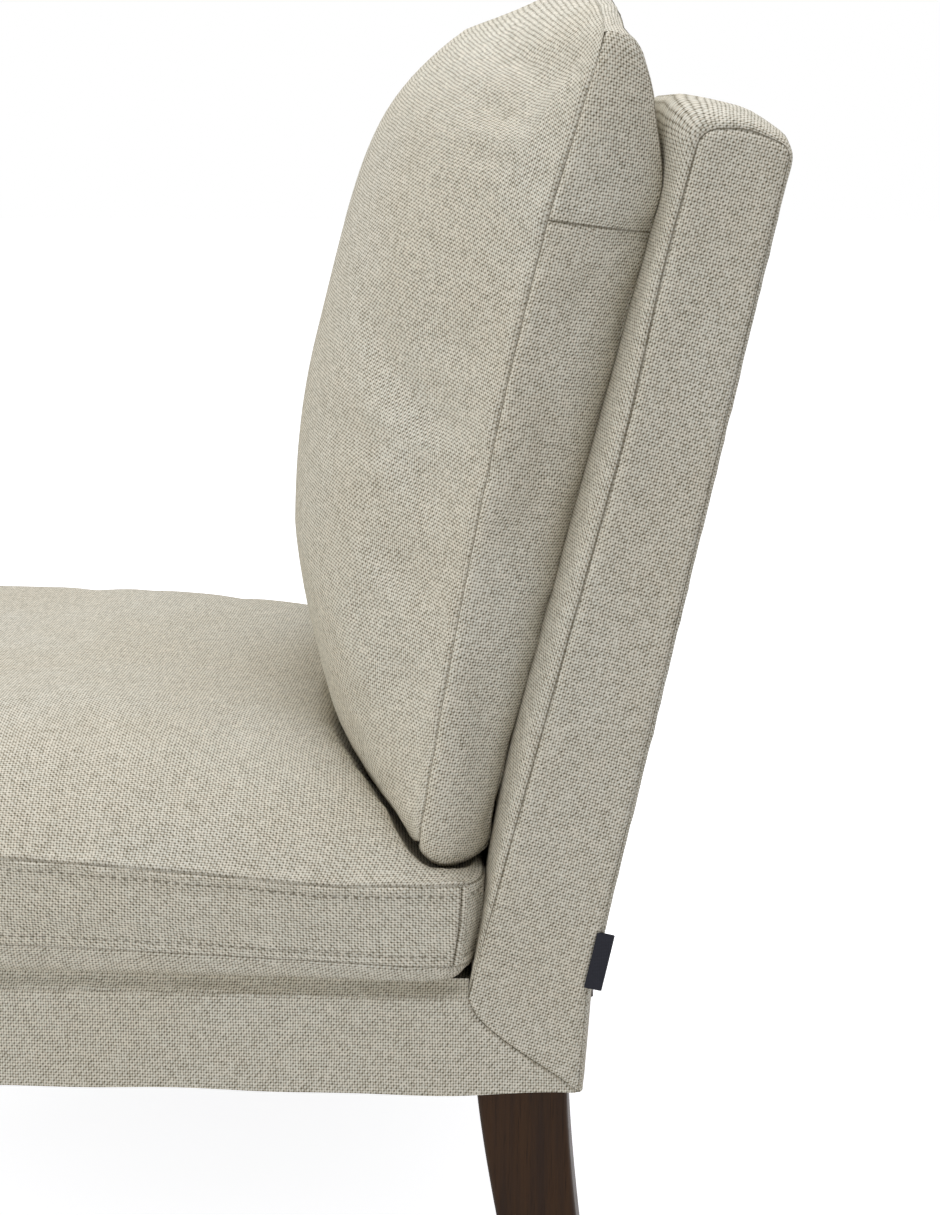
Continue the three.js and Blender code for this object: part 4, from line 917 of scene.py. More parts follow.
def makeSeatCushion():
    c = seatCushion
    width, depth = 2 * c["halfWidth"], c["rear"] - c["front"]
    panels = {
        "top": (seatTop, "abcd", False), "under": (seatUnder, "abcd", True),
        "right": (seatSide(1.0), "bcd", False), "right_rear": (seatSide(1.0), "acd", False),
        "left": (seatSide(-1.0), "bcd", True), "left_rear": (seatSide(-1.0), "acd", True),
        "front": (seatEnd(-1.0), "ab", True), "rear_left": (seatEnd(1.0), "abd", False),
        "rear": (seatEnd(1.0), "abcd", False), "rear_right": (seatEnd(1.0), "abc", False),
    }

    def samples(sParts, tParts, across):
        s = np.concatenate([sParts[0], sParts[1][1:], sParts[2][1:]])
        t = np.concatenate([tParts[0], tParts[1][1:]])
        lists = {"top": (t, s), "under": (t, s), "front": (across, s)}
        for side in ("right", "left"):
            lists[side], lists[side + "_rear"] = (tParts[0], across), (tParts[1], across)
        for label, part in zip(("rear_left", "rear", "rear_right"), sParts):
            lists[label] = (across, part)
        return lists

    stops = [0, width * (1 - c["rearSeam"]) / 2, width * (1 + c["rearSeam"]) / 2, width]
    fineParts = [spacing(stops[k:k + 2]) / width * 2 - 1 for k in range(3)]
    steps = c["coarseSteps"]
    corner = int(round(steps * (1 - c["rearSeam"]) / 2))
    even = np.linspace(-1, 1, steps + 1)
    sideRows = even.copy()
    sideRows[-2] = 1 - c["sideSeam"] * (even[1] - even[0])
    tStops = [0, depth * (sideRows[-2] + 1) / 2, depth]
    fineRows = [spacing(tStops[k:k + 2]) / depth * 2 - 1 for k in range(2)]
    fineAcross = spacing([0, c["boxingWidth"]], coarse=0.004, reach=0.02) / c["boxingWidth"]
    fine = samples(fineParts, fineRows, fineAcross)
    coarse = samples([even[:corner + 1], even[corner:-corner], even[-corner - 1:]],
                     [sideRows[:-1], sideRows[-2:]], np.linspace(0, 1, 6))
    grids = cushionGrids("seat_cushion_cloth", panels, coarse, fine, c, seatCushionRests)
    sewing = Sewing("seat_cushion_cloth")
    for label, (make, seams, flip) in panels.items():
        boxing = label not in ("top", "under")
        rows = "" if not boxing else "cd" if label.startswith(("left", "right")) else "ab"
        sewing.panel(label, grids[label], seams, flip=flip, stitched=rows, alongSides=label == "top")
        away = sewing.grids[-1]["away"]
        sewing.grids[-1]["lift"] = flangeSeam(away) if boxing else rolledSeam(away)
    sewing.sew()
    sewing.push(sewing.lift)
    sewing.push(puckers(sewing, *c["puckers"]))
    clearance = c["clearance"] + c["midClearance"] * (np.abs(sewing.vertices[:, 0]) < c["midHalf"])
    pressed = pressDown(sewing.vertices, underside(backSewing.vertices), clearance)
    topSide = sewing.vertices[:, 2] > (c["topSeam"] + c["low"]) / 2
    sewing.vertices = np.where(topSide[:, None], pressed, sewing.vertices)
    return sewing.build(stitchedLinen)


seatCushionCloth = makeSeatCushion()
print("seat cushion ready", len(seatCushionCloth.data.polygons))


# Fitted cover of the back

backCover = {
    "top": hemZ + 0.587, "frontRadius": 0.0135, "crestRadius": 0.022, "crestTurn": math.radians(23),
    "crestFlat": 0.006, "rearRadius": 0.009,
    "frontBow": 0.0055, "bowEase": 0.0053, "bowHeights": (0.33, 0.47),      # heights above the deck
    "hipY": chair["footY"] + 0.0705, "hipZ": hemZ + 0.068, "footRearY": chair["footY"] + 0.066,
    "frontBulge": 0.018, "bulgeReach": 0.190, "roll": 0.045, "panelPuff": 0.0010,
    "kneeY": chair["footY"] + 0.004, "kneeZ": hemZ + 0.0505, "kneeEase": 0.006, "kneeDraw": 0.003,
    "panelHeight": 0.545, "panelDepth": 0.060,
    # padding over the crest: distance along the seam from its front bend, and thickness
    "crest": [(-0.044, 0.0128), (-0.032, 0.015), (-0.022, 0.0173), (-0.0145, 0.0196), (-0.008, 0.0265),
              (-0.004, 0.0332), (-0.001, 0.0288), (0.002, 0.022), (0.0055, 0.0168), (0.01, 0.0152), (0.017, 0.0127),
              (0.026, 0.0104), (0.035, 0.009), (0.042, 0.0066), (0.048, 0.0035), (0.056, 0.003), (0.07, 0.0033),
              (0.1, 0.0034)],
    "hemWave": 0.0006, "hemRise": 0.0030, "hemReach": 0.04, "puckers": (0.0007, 0.022, 0.010, 11),
}


def rearLine(z):
    # raked above the hip, nearly upright below it
    c = backCover
    raked = c["hipY"] + (z - c["hipZ"]) * math.tan(chair["rearRake"])
    share = np.clip((z - chair["hemZ"]) / (c["hipZ"] - chair["hemZ"]), 0, 1)
    return np.where(z >= c["hipZ"], raked, blendValues(c["footRearY"], c["hipY"], share))


def headingPath(start, parts):
    # walks along straights and bends: each part is a length and its headings at both ends
    points = [np.array([start])]
    for length, first, last in parts:
        t = np.linspace(0, 1, 41)
        heading = first + (last - first) * t
        step = np.stack([np.cos(heading), np.sin(heading)], axis=-1) * length / 40
        points.append(points[-1][-1] + np.cumsum((step[1:] + step[:-1]) / 2, axis=0))
    return np.concatenate(points)


def backEdges():
    # the side panel's four edges in Y and Z: front and rear going up, mitre and top going back
    c = backCover
    upward = math.pi / 2 - chair["frontRake"]
    downward = -math.pi / 2 - chair["rearRake"]
    foot = (chair["footY"], chair["deckZ"])
    bendHeight = c["frontRadius"] * (1 - math.cos(upward))
    straight = (c["top"] - bendHeight - chair["deckZ"]) / math.sin(upward)

    def over(flat):
        return [(straight, upward, upward), (c["frontRadius"] * upward, upward, 0.0), (c["crestFlat"], 0.0, 0.0),
                (c["crestRadius"] * c["crestTurn"], 0.0, -c["crestTurn"]), (flat, -c["crestTurn"], -c["crestTurn"]),
                (c["rearRadius"] * (-c["crestTurn"] - downward), -c["crestTurn"], downward)]

    # the length of the falling straight is the one that ends on the rear line
    miss = []
    for flat in (0.01, 0.02):
        end = headingPath(foot, over(flat))[-1]
        miss.append(end[0] - float(rearLine(np.array(end[1]))))
    flat = 0.01 + 0.01 * miss[0] / (miss[0] - miss[1])
    path = headingPath(foot, over(flat))
    # the panel's upper corners lie halfway round the front bend and nearly so round the rear one
    split = [1 + 40 + 20, 1 + 5 * 40 + 18]
    end = path[-1].copy()
    # the front seam bows forward near the top
    bow = smoothStep(path[:, 1] - chair["deckZ"], *c["bowHeights"])
    path[:, 0] -= c["frontBow"] * bow * (1 - smoothStep(path[:, 0], path[split[0], 0] - 0.004, end[0] - 0.012))
    down = spacing([chair["hemZ"], c["hipZ"], end[1]], fine=0.004, coarse=0.008)[::-1]
    rear = np.concatenate([path[split[1]:], np.stack([rearLine(down), down], axis=-1)[1:]])
    z = np.linspace(chair["deckZ"], chair["hemZ"], 60)
    mitre = np.stack([mitreLine(z), z], axis=-1)
    return path[:split[0] + 1], path[split[0]:split[1] + 1], rear[::-1], mitre


def mitreLine(z):
    # where the side border ends at a height: down to the knee, then slanting back, eased at the knee
    c = backCover
    above = chair["footY"] + (chair["deckZ"] - z) * (c["kneeY"] - chair["footY"]) / (chair["deckZ"] - c["kneeZ"])
    below = c["kneeY"] + (c["kneeZ"] - z) * (c["footRearY"] - c["kneeY"]) / (c["kneeZ"] - chair["hemZ"])
    gap = below - above
    eased = above + (gap + np.sqrt(gap ** 2 + c["kneeEase"] ** 2)) / 2
    return eased - c["kneeDraw"] * smoothStep(z, chair["hemZ"], c["kneeZ"])


def lineLengths(line):
    # length of a line up to each of its points
    return np.concatenate([[0], np.cumsum(np.linalg.norm(np.diff(line, axis=0), axis=1))])


def resample(line, shares):
    # points at shares of a line's length
    length = lineLengths(line)
    wanted = shares * length[-1]
    return np.stack([np.interp(wanted, length, line[:, k]) for k in range(line.shape[1])], axis=-1)


def sidePanelGrid():
    # surface between four edges: both ruled surfaces less the one between the corners
    front, top, rear, mitre = backEdges()
    c = backCover
    up = spacing([0, c["panelHeight"]], coarse=0.006) / c["panelHeight"]
    over = spacing([0, c["panelDepth"]]) / c["panelDepth"]
    frontEdge, rearEdge = resample(front, up), resample(rear, up)
    lowEdge, highEdge = resample(mitre, over), resample(top, over)
    a, b = up[:, None, None], over[None, :, None]
    ruled = (1 - b) * frontEdge[:, None] + b * rearEdge[:, None] + (1 - a) * lowEdge[None] + a * highEdge[None]
    corners = ((1 - a) * (1 - b) * frontEdge[0] + (1 - a) * b * rearEdge[0]
               + a * (1 - b) * frontEdge[-1] + a * b * rearEdge[-1])
    return ruled - corners, up, over


def outlineNormals(line):
    # unit normals of a line, from its steps smoothed over a few points
    step = np.gradient(line, axis=0)
    step /= np.linalg.norm(step, axis=1, keepdims=True)
    kernel = np.hanning(9)
    step = np.stack([np.convolve(np.pad(step[:, k], 4, mode="edge"), kernel / kernel.sum(), mode="valid")
                     for k in range(2)], axis=-1)
    normal = np.stack([-step[:, 1], step[:, 0]], axis=-1)
    return normal / np.linalg.norm(normal, axis=1, keepdims=True)


def bulgeAlong(line, bend):
    # padding on each point of the wrapped line: it grows up the front, follows the crest and is
    # slight behind
    c = backCover
    length = lineLengths(line) - bend
    height = line[:, 1] - chair["deckZ"]
    climb = c["frontBulge"] * np.sin(np.clip(height / c["bulgeReach"], 0, 1) * math.pi / 2)
    climb = climb - c["bowEase"] * smoothStep(height, *c["bowHeights"])
    reach, thick = np.array(c["crest"]).T
    bulge = np.where(length < reach[0], climb, np.interp(length, reach, thick))
    return np.convolve(np.pad(bulge, 3, mode="edge"), np.full(7, 1 / 7), mode="valid")


def hemLine(y, z):
    # how far the lower edge of the cover stands above its height: slight waves, and a rise to the rear
    c = backCover
    wave = c["hemWave"] * (np.sin(y * 24 + 1) + 0.7 * np.sin(y * 57))
    climb = c["hemRise"] * smoothStep(y, chair["footY"] - 0.02, c["footRearY"])
    return (wave + climb) * (1 - smoothStep(z, chair["hemZ"], chair["hemZ"] + c["hemReach"]))


def makeBackCover():
    c = backCover
    grid, up, over = sidePanelGrid()
    grid[..., 1] += hemLine(grid[..., 0], grid[..., 1])
    n, m = grid.shape[:2]
    sewing = Sewing("back_cover_cloth")
    puff = c["panelPuff"] * (1 - np.abs(2 * up - 1)[:, None] ** 12) * (1 - np.abs(2 * over - 1)[None, :] ** 6)
    lean = (chair["frontRake"] + chair["rearRake"]) / 2
    for label, side, flip in (("right", 1, False), ("left", -1, True)):
        x = side * (chair["halfWidth"] + puff)
        points = np.concatenate([np.broadcast_to(x, (n, m))[..., None], grid], axis=-1)
        y, z = grid[..., 0] - chair["footY"], grid[..., 1] - chair["deckZ"]
        across, along = y * math.cos(lean) - z * math.sin(lean), z * math.cos(lean) + y * math.sin(lean)
        uv = np.stack([side * across, along], axis=-1)
        # quiet fades the painted seam shade along the mitre
        sewing.panel(label, points, "abcd", uv=uv, flip=flip, quiet={"a": 0.0004})
    line = np.concatenate([grid[:, 0], grid[-1, 1:], grid[-2::-1, -1]])
    normals = outlineNormals(line)
    bulge = bulgeAlong(line, float(runLengths(line, 0)[n - 1]))
    turn = spacing([0, c["roll"] * 1.5], coarse=0.004)
    turn = turn / turn[-1] * math.pi / 2
    rollX = chair["halfWidth"] - c["roll"] + c["roll"] * np.cos(turn)
    flatX = np.linspace(rollX[-1], -rollX[-1], 56)[1:-1]
    x = np.concatenate([rollX, flatX, -rollX[::-1]])
    share = np.concatenate([np.sin(turn), np.ones(len(flatX)), np.sin(turn)[::-1]])
    strip = line[:, None] + normals[:, None] * (bulge[:, None] * share[None, :])[..., None]
    points = np.concatenate([np.broadcast_to(x, strip.shape[:2])[..., None], strip], axis=-1)
    sewing.panel("wrap", points, "cd", flip=True, alongSides=True)
    for g in sewing.grids:
        g["lift"] = plainSeam(g["away"]) * (0.5 if g["label"] == "wrap" else 1.0)
    sewing.sew()
    sewing.push(sewing.lift)
    sewing.push(puckers(sewing, *c["puckers"]))
    return sewing.build(plainLinen)


backCoverCloth = makeBackCover()
print("back cover ready", len(backCoverCloth.data.polygons))


# Fitted cover of the seat

seatCover = {
    "front": frontY + 0.008, "cornerRadius": 0.016, "edgeRadius": 0.009, "puckers": (0.0008, 0.040, 0.012, 21),
    "deckHalf": 0.291, "deckTuck": 0.002, "deckDrop": 0.0044, "dome": 0.0035,
}


def seatPlan():
    # half of the border's line in plan, from the middle of the front round the corner to the side
    c = seatCover
    half, radius = chair["halfWidth"], c["cornerRadius"]
    across = np.linspace(0, half - radius, 40)
    corner = np.radians(np.linspace(0, 90, 11)[1:])
    x = np.concatenate([across, half - radius + radius * np.sin(corner)])
    y = np.concatenate([across * 0 + c["front"], c["front"] + radius - radius * np.cos(corner)])
    return x, y


def makeSeatCover():
    c = seatCover
    x, y = seatPlan()
    z = spacing([chair["hemZ"], chair["deckZ"]], coarse=0.005)
    sideLength = chair["footY"] - y[-1]
    share = spacing([0, sideLength], coarse=0.008)[1:] / sideLength
    sewing = Sewing("seat_cover_cloth")
    for label, side, flip in (("right", 1, False), ("left", -1, True)):
        frontX = np.broadcast_to(x, (len(z), len(x)))
        frontYs = np.broadcast_to(y, (len(z), len(x)))
        sideY = y[-1] + (mitreLine(z)[:, None] - y[-1]) * share[None, :]
        gridX = np.concatenate([frontX, np.full_like(sideY, chair["halfWidth"])], axis=1) * side
        gridY = np.concatenate([frontYs, sideY], axis=1)
        gridZ = z[:, None] + hemLine(gridY, z[:, None])
        points = np.stack([gridX, gridY, gridZ], axis=-1)
        run = np.concatenate([runLengths(points[:1, :len(x)], 1)[0], np.zeros(len(share))])
        run = np.where(np.arange(len(run)) < len(x), run, run[len(x) - 1])
        u = run[None, :] + np.maximum(gridY - y[-1], 0)
        uv = np.stack([u * side, points[..., 2]], axis=-1)
        # quiet fades the painted seam shade along the deck seam and the mitre
        sewing.panel(label, points, "bd", uv=uv, flip=flip, quiet={"b": 0.0002, "d": 0.0004})
        angle = np.radians(spacing([0, 90], fine=6, coarse=12, reach=30))
        rim = sewing.grids[-1]["points"][-1]
        inward = deckInward(rim, side)
        roll = c["edgeRadius"]
        edge = rim[None] + inward[None] * (roll * np.sin(angle))[:, None, None]
        edge = edge + np.array([0, 0, 1.0]) * (roll * (1 - np.cos(angle)))[:, None, None]
        sewing.panel(label + "_edge", edge, "a", flip=flip)
    for g in sewing.grids:
        g["lift"] = plainSeam(g["away"])
    sewing.sew()
    sewing.push(sewing.lift)
    sewing.push(puckers(sewing, *c["puckers"]))
    return sewing.build(plainLinen)


def deckInward(rim, side):
    # horizontal direction from the border's line to the deck, square to it
    step = np.gradient(rim, axis=0)
    inward = np.stack([-step[:, 1], step[:, 0], step[:, 0] * 0], axis=-1) * side
    inward /= np.linalg.norm(inward, axis=1, keepdims=True)
    return inward


def makeDeck():
    # the deck's top: a slight dome over the rolled edge, tucked under the back
    c = seatCover
    half, fineness = c["deckHalf"], {"fine": 0.003, "coarse": 0.02, "reach": 0.03}
    s = spacing([-half, half], **fineness)
    t = spacing([c["front"] + c["edgeRadius"], chair["footY"] - c["deckTuck"]], **fineness)
    y, x = np.meshgrid(t, s, indexing="ij")
    centre, reach = (t[0] + t[-1]) / 2, (t[-1] - t[0]) / 2
    dome = (1 - (x / half) ** 2) * (1 - ((y - centre) / reach) ** 2)
    z = chair["deckZ"] + c["edgeRadius"] - c["deckDrop"] + c["dome"] * dome ** 0.5
    deck = gridMesh("deck_cloth", np.stack([x, y, z], axis=-1), plainLinen)
    # the weave lies flat on it, and there is no seam near
    mesh = deck.data
    corners = np.zeros(len(mesh.loops), np.int32)
    mesh.loops.foreach_get("vertex_index", corners)
    flat = np.stack([x, y], axis=-1).reshape(-1, 2)[corners]
    for name, values in (("weave", flat), ("seam", np.ones_like(flat))):
        mesh.uv_layers.new(name=name).data.foreach_set("uv", values.reshape(-1).astype(np.float32))
    return deck


seatCoverCloth = makeSeatCover()
deckCloth = makeDeck()
print("seat cover ready")


# Legs

leg = {
    "topDepth": 0.057, "topWidth": 0.045, "footDepth": 0.047, "footWidth": 0.038, "edge": 0.004,
    "sweep": 0.018, "sweepPower": 1.35, "steps": 30, "topZ": hemZ + 0.0027, "footZ": 0.0043,
}


def woodFinish():
    # long thin grain streaks and fine dark pores stretched along the leg, under a satin coat
    f = Finish("dark_wood")
    where = f.place()
    x, y, z = f.split(where)
    streak = f.noise(f.vector(x * 150, y * 150, z * 5), 1.0, 4.0, 0.6)
    pore = f.noise(f.vector(x * 900, y * 900, z * 26), 1.0, 2.0, 0.7)
    patches = f.noise(where, 9, 2.0)
    tone = f.mix(streak.ramp(0.3, 0.72), srgb(37, 20, 6), srgb(56, 34, 11))
    tone = f.mix(pore.ramp(0.55, 0.72) * 0.55, tone, srgb(18, 10, 5))
    tone = f.mix(patches.ramp(0.3, 0.8) * 0.25, tone, srgb(49, 28, 9))
    normal = f.bump(streak * 0.3 - pore.ramp(0.5, 0.75) * 0.7, 0.0002, 0.5)
    return f.finish(tone, pore.ramp(0.4, 0.8, 0.42, 0.6), normal, **{"Specular IOR Level": 0.15})


darkWood = woodFinish()


def legPoints(x, y, sweep):
    # rounded rectangle that shrinks to the foot while its middle sweeps back by a power of the fall
    c = leg
    fall = np.linspace(0, 1, c["steps"])
    corner = np.radians(np.arange(0, 91, 15))
    quarters = np.concatenate([corner + k * math.pi / 2 for k in range(4)])
    signX = np.repeat([1, -1, -1, 1], len(corner))
    signY = np.repeat([1, 1, -1, -1], len(corner))
    depth, width = blendValues(c["topDepth"], c["footDepth"], fall), blendValues(c["topWidth"], c["footWidth"], fall)
    z = blendValues(c["topZ"], c["footZ"], fall)
    back = (y + sweep * fall ** c["sweepPower"])[:, None]
    px = x + signX * (width[:, None] / 2 - c["edge"]) + c["edge"] * np.cos(quarters)
    py = back + signY * (depth[:, None] / 2 - c["edge"]) + c["edge"] * np.sin(quarters)
    return np.stack([px, py, np.broadcast_to(z[:, None], px.shape)], axis=-1)


legs = {}
for end in ("front", "rear"):
    for side in ("left", "right"):
        name = f"leg_{end}_{side}"
        low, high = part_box(name)
        sweep = leg["sweep"] if end == "rear" else 0.0
        points = legPoints((low.x + high.x) / 2, low.y + leg["topDepth"] / 2, sweep)[::-1]
        legs[name] = gridMesh(name + "_wood", points, darkWood, closed=True)
print("legs ready")


# Tag

tag = {
    "reach": 0.0095, "thick": 0.0016, "lowRise": 0.0050, "highRise": 0.0010, "wave": 0.0008,
    "outside": 0.0002, "inSeam": 0.0027, "slope": math.radians(12.4), "slopeShare": 0.9, "tape": 0.0004,
    "ribPitch": 0.0009, "crossPitch": 0.0011,
}


def tagFinish():
    # close woven tape: fine ribs across
    f = Finish("tag_tape")
    y, z = f.split(f.place())[1:]
    ribs = (z * 2 * math.pi / tag["ribPitch"]).cos() * 0.5 + 0.5
    cross = (y * 2 * math.pi / tag["crossPitch"]).cos() * 0.5 + 0.5
    tone = f.mix(ribs * 0.5 + cross * 0.2, srgb(24, 24, 30), srgb(44, 45, 54))
    return f.finish(tone, 0.8, f.bump(ribs + cross * 0.5, 0.0002, 0.6), **{"Specular IOR Level": 0.3})


def makeTag():
    # tape folded in two: its line runs out from the seam, round the fold and back
    c = tag
    low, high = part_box("side_tag")
    half = c["thick"] / 2
    z = np.linspace(low.z + c["lowRise"], high.z + c["highRise"], 24)[:, None]
    out = np.linspace(0, 1, 12) * c["reach"]
    fold = np.radians(np.linspace(-90, 90, 9)[1:-1])
    along = np.concatenate([out, c["reach"] + half * np.cos(fold), out[::-1]])
    side = np.concatenate([0 * out, half + half * np.sin(fold), 0 * out + c["thick"]])
    wave = c["wave"] * np.sin(np.linspace(0, 3.0, len(z)))[:, None]
    x = chair["halfWidth"] + c["outside"] + side + wave * along / c["reach"]
    y = rearLine(z) - c["inSeam"] + along
    slid = z - along * math.sin(c["slope"]) * c["slopeShare"]
    return np.stack([x, y, slid], axis=-1)


tagTape = gridMesh("side_tag_tape", makeTag(), tagFinish())
solid = tagTape.modifiers.new("thickness", "SOLIDIFY")
solid.thickness = tag["tape"]
print("tag ready")


# Zips

zipper = {
    "tapeWidth": 0.0112, "tapeThick": 0.0008, "ripple": 0.00015, "rippleRate": 90, "ribPitch": 0.0011,
    "pitch": 0.0016, "tooth": (0.0011, 0.0036, 0.0012), "stagger": 0.0004, "endGap": 0.004, "toothShare": 0.8,
}


def zipPoints(halfLength, centre, across, out):
    # tape: a flat rounded loop carried along X; teeth: a block repeated along X, staggered across
    c = zipper
    turn = np.radians(np.linspace(-90, 90, 5))
    bend, wide = c["tapeThick"] / 2, c["tapeWidth"] / 2 - c["tapeThick"] / 2
    w = np.concatenate([wide + bend * np.cos(turn), -wide - bend * np.cos(turn)])
    h = np.concatenate([bend * np.sin(turn), -bend * np.sin(turn)])
    x = np.linspace(-halfLength, halfLength, 81)[:, None]
    tape = placed(x, w, h + c["ripple"] * np.sin(x * c["rippleRate"]), centre, across, out)
    corners = np.array([(a, b, d) for a in (-1, 1) for b in (-1, 1) for d in (-1, 1)]) * np.array(c["tooth"]) / 2
    starts = np.arange(-halfLength + c["endGap"], halfLength - c["endGap"], c["pitch"])[:, None]
    side = np.where(np.arange(len(starts)) % 2, 1, -1)[:, None] * c["stagger"]
    teeth = placed(starts + corners[:, 0], side + corners[:, 1],
                   c["tapeThick"] / 2 + corners[:, 2] * c["toothShare"], centre, across, out)
    block = np.array([(0, 1, 3, 2), (4, 6, 7, 5), (0, 4, 5, 1), (2, 3, 7, 6), (0, 2, 6, 4), (1, 5, 7, 3)])
    blocks = block + (np.arange(len(starts)) * 8)[:, None, None] + len(x) * len(w)
    points = np.concatenate([tape.reshape(-1, 3), teeth.reshape(-1, 3)])
    return points, ringFaces(len(x), len(w)) + blocks.reshape(-1, 4).tolist()


def placed(x, w, h, centre, across, out):
    # x along the zip, w across it and h out of it, to places in the frame
    y = centre[0] + w * across[0] + h * out[0]
    z = centre[1] + w * across[1] + h * out[1]
    return np.stack(np.broadcast_arrays(x, y, z), axis=-1)


def zipTapeFinish():
    # fine ribs along the tape
    f = Finish("zip_weave")
    where = f.place()
    ribs = (f.split(where)[0] * 2 * math.pi / zipper["ribPitch"]).cos() * 0.5 + 0.5
    grain = f.noise(where, 900, 2.0)
    tone = f.mix(ribs * 0.4 + grain * 0.4, srgb(172, 163, 143), srgb(204, 197, 180))
    return f.finish(tone, 0.75, f.bump(ribs + grain * 0.5, 0.0002, 0.6))


def makeZip(name, node, across, out, finish):
    low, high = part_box(node)
    points, faces = zipPoints(high.x, ((low.y + high.y) / 2, (low.z + high.z) / 2), across, out)
    return outward(makeObject(name, makeMesh(name, points, faces, smooth=False), finish))


def outward(obj):
    # turns all faces of closed shells outwards
    shape = bmesh.new()
    shape.from_mesh(obj.data)
    bmesh.ops.recalc_face_normals(shape, faces=shape.faces)
    shape.to_mesh(obj.data)
    shape.free()
    return obj


zipTape = zipTapeFinish()
sine, cosine = math.sin(chair["frontRake"]), math.cos(chair["frontRake"])
seatZip = makeZip("seat_zip_chain", "seat_cushion_zip", (0.0, 1.0), (1.0, 0.0), zipTape)
backZip = makeZip("back_zip_chain", "back_cushion_zip", (-cosine, sine), (-sine, -cosine), zipTape)
print("zips ready")


# Dust cover under the frame

dustCover = {"sag": 0.0010, "thick": 0.0005, "margin": 0.0022, "cell": 0.0095, "below": 0.0003, "spotPitch": 0.003}


def makeDustCover():
    # a flat grid that sags by a product of parabolas; cells round the legs are left out
    c = dustCover
    low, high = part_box("dust_cover")
    # the part of the cover that each leg takes: its range in X, out to the cover's side, and in Y
    feet = []
    for a, b in (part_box(name) for name in legs):
        near, far = a.x - c["margin"], b.x + c["margin"]
        feet.append((near, far, a.y - c["margin"], a.y + leg["topDepth"] + c["margin"]))
    xs = {v for near, far, front, rear in feet for v in (near, far) if low.x <= v <= high.x} | {low.x, high.x}
    ys = {v for near, far, front, rear in feet for v in (front, rear) if low.y <= v <= high.y} | {low.y, high.y}
    x, y = (spacing(sorted(stops), fine=c["cell"], coarse=c["cell"]) for stops in (xs, ys))
    gridX, gridY = np.meshgrid(x, y)
    share = (1 - (gridX / high.x) ** 2) * (1 - ((gridY - (low.y + high.y) / 2) / ((high.y - low.y) / 2)) ** 2)
    points = np.stack([gridX, gridY, high.z - c["below"] - c["sag"] * share], axis=-1)
    n, m = gridX.shape
    quads = gridQuads(np.arange(n * m).reshape(n, m))[..., [0, 3, 2, 1]]
    midX, midY = (x[1:] + x[:-1]) / 2, (y[1:] + y[:-1]) / 2
    keep = np.ones((n - 1, m - 1), bool)
    for near, far, front, rear in feet:
        inX = midX > near if near > 0 else midX < far
        inY = (midY > front) & (midY < rear)
        keep &= ~(inY[:, None] & inX[None, :])
    area = float((np.diff(x)[None, :] * np.diff(y)[:, None] * keep).sum())
    mesh = makeMesh("dust_cover_cloth", points, quads[keep].reshape(-1, 4))
    shape = bmesh.new()
    shape.from_mesh(mesh)
    bmesh.ops.delete(shape, geom=[v for v in shape.verts if not v.link_faces], context="VERTS")
    shape.to_mesh(mesh)
    shape.free()
    obj = makeObject("dust_cover_cloth", mesh, dustFinish())
    wall = obj.modifiers.new("thickness", "SOLIDIFY")
    wall.thickness, wall.offset = c["thick"], 0.0
    return obj, (float(high.x - low.x), float(high.y - low.y)), area


def dustFinish():
    # thin black nonwoven cloth: soft mottling and a grid of small pressed points
    f = Finish("dust_cloth_pressed")
    where = f.place()
    x, y = f.split(where)[:2]
    rate = 2 * math.pi / dustCover["spotPitch"]
    spots = ((x * rate).cos() * (y * rate).cos()).ramp(0.3, 0.9)
    mottle = f.noise(where, 260, 3.0, 0.6)
    tone = f.mix(mottle * 0.7 + spots * 0.3, srgb(30, 30, 32), srgb(58, 58, 60))
    return f.finish(tone, 0.9, f.bump(mottle * 0.5 - spots, 0.0003, 0.6))


dustCoverCloth, dustFlat, dustArea = makeDustCover()
print("dust cover ready", round(dustArea, 3))


# Plain finishes of the pieces inside

def plainFinish(name, first, second, roughness, scale=120.0, metallic=0.0, bumpDistance=0.0003):
    # two close tones mixed by fine noise, with a matching roughness and bump
    f = Finish(name)
    grain = f.noise(f.place(), scale, 4.0, 0.6)
    tone = f.mix(grain.ramp(0.3, 0.7), first, second)
    sheen = grain.ramp(0.2, 0.8, roughness - 0.08, roughness + 0.08)
    return f.finish(tone, sheen, f.bump(grain, bumpDistance, 0.5), metallic)


finishes = {
    "linen": plainLinen,
    "foam": plainFinish("foam", srgb(232, 222, 190), srgb(214, 202, 166), 0.9, 900, 0.0, 0.0008),
    "felt": plainFinish("felt", srgb(140, 140, 136), srgb(104, 104, 102), 0.95, 500, 0.0, 0.0006),
    "webbing": plainFinish("webbing", srgb(52, 52, 56), srgb(34, 34, 38), 0.85, 700),
    "dust_cloth": plainFinish("dust_cloth", srgb(44, 44, 46), srgb(28, 28, 30), 0.95, 800),
    "zip_tape": plainFinish("zip_tape", srgb(190, 182, 162), srgb(168, 160, 140), 0.85, 900),
    "tag_cloth": plainFinish("tag_cloth", srgb(30, 31, 40), srgb(22, 22, 30), 0.85, 900),
    "frame_wood": plainFinish("frame_wood", srgb(206, 170, 122), srgb(180, 142, 96), 0.7, 60),
    "leg_wood": darkWood,
    "steel": plainFinish("steel", srgb(176, 177, 180), srgb(150, 152, 156), 0.35, 400, 1.0, 0.0001),
    "zip_metal": plainFinish("zip_metal", srgb(178, 176, 170), srgb(150, 148, 142), 0.35, 400, 1.0, 0.0001),
    "glide_plastic": plainFinish("glide_plastic", srgb(70, 66, 60), srgb(54, 50, 46), 0.55, 500),
}
slotOf = {row["node"]: row["material_slot"] for row in frame["record"]["subparts"]}
for name, node in frame["nodes"].items():
    node.data.materials.clear()
    node.data.materials.append(finishes[slotOf[name]])
print("finishes ready")


# What moves with what

def dress(piece, body, slot, *nodes, fill=None):
    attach(piece, body)
    if nodes:
        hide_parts(*nodes)


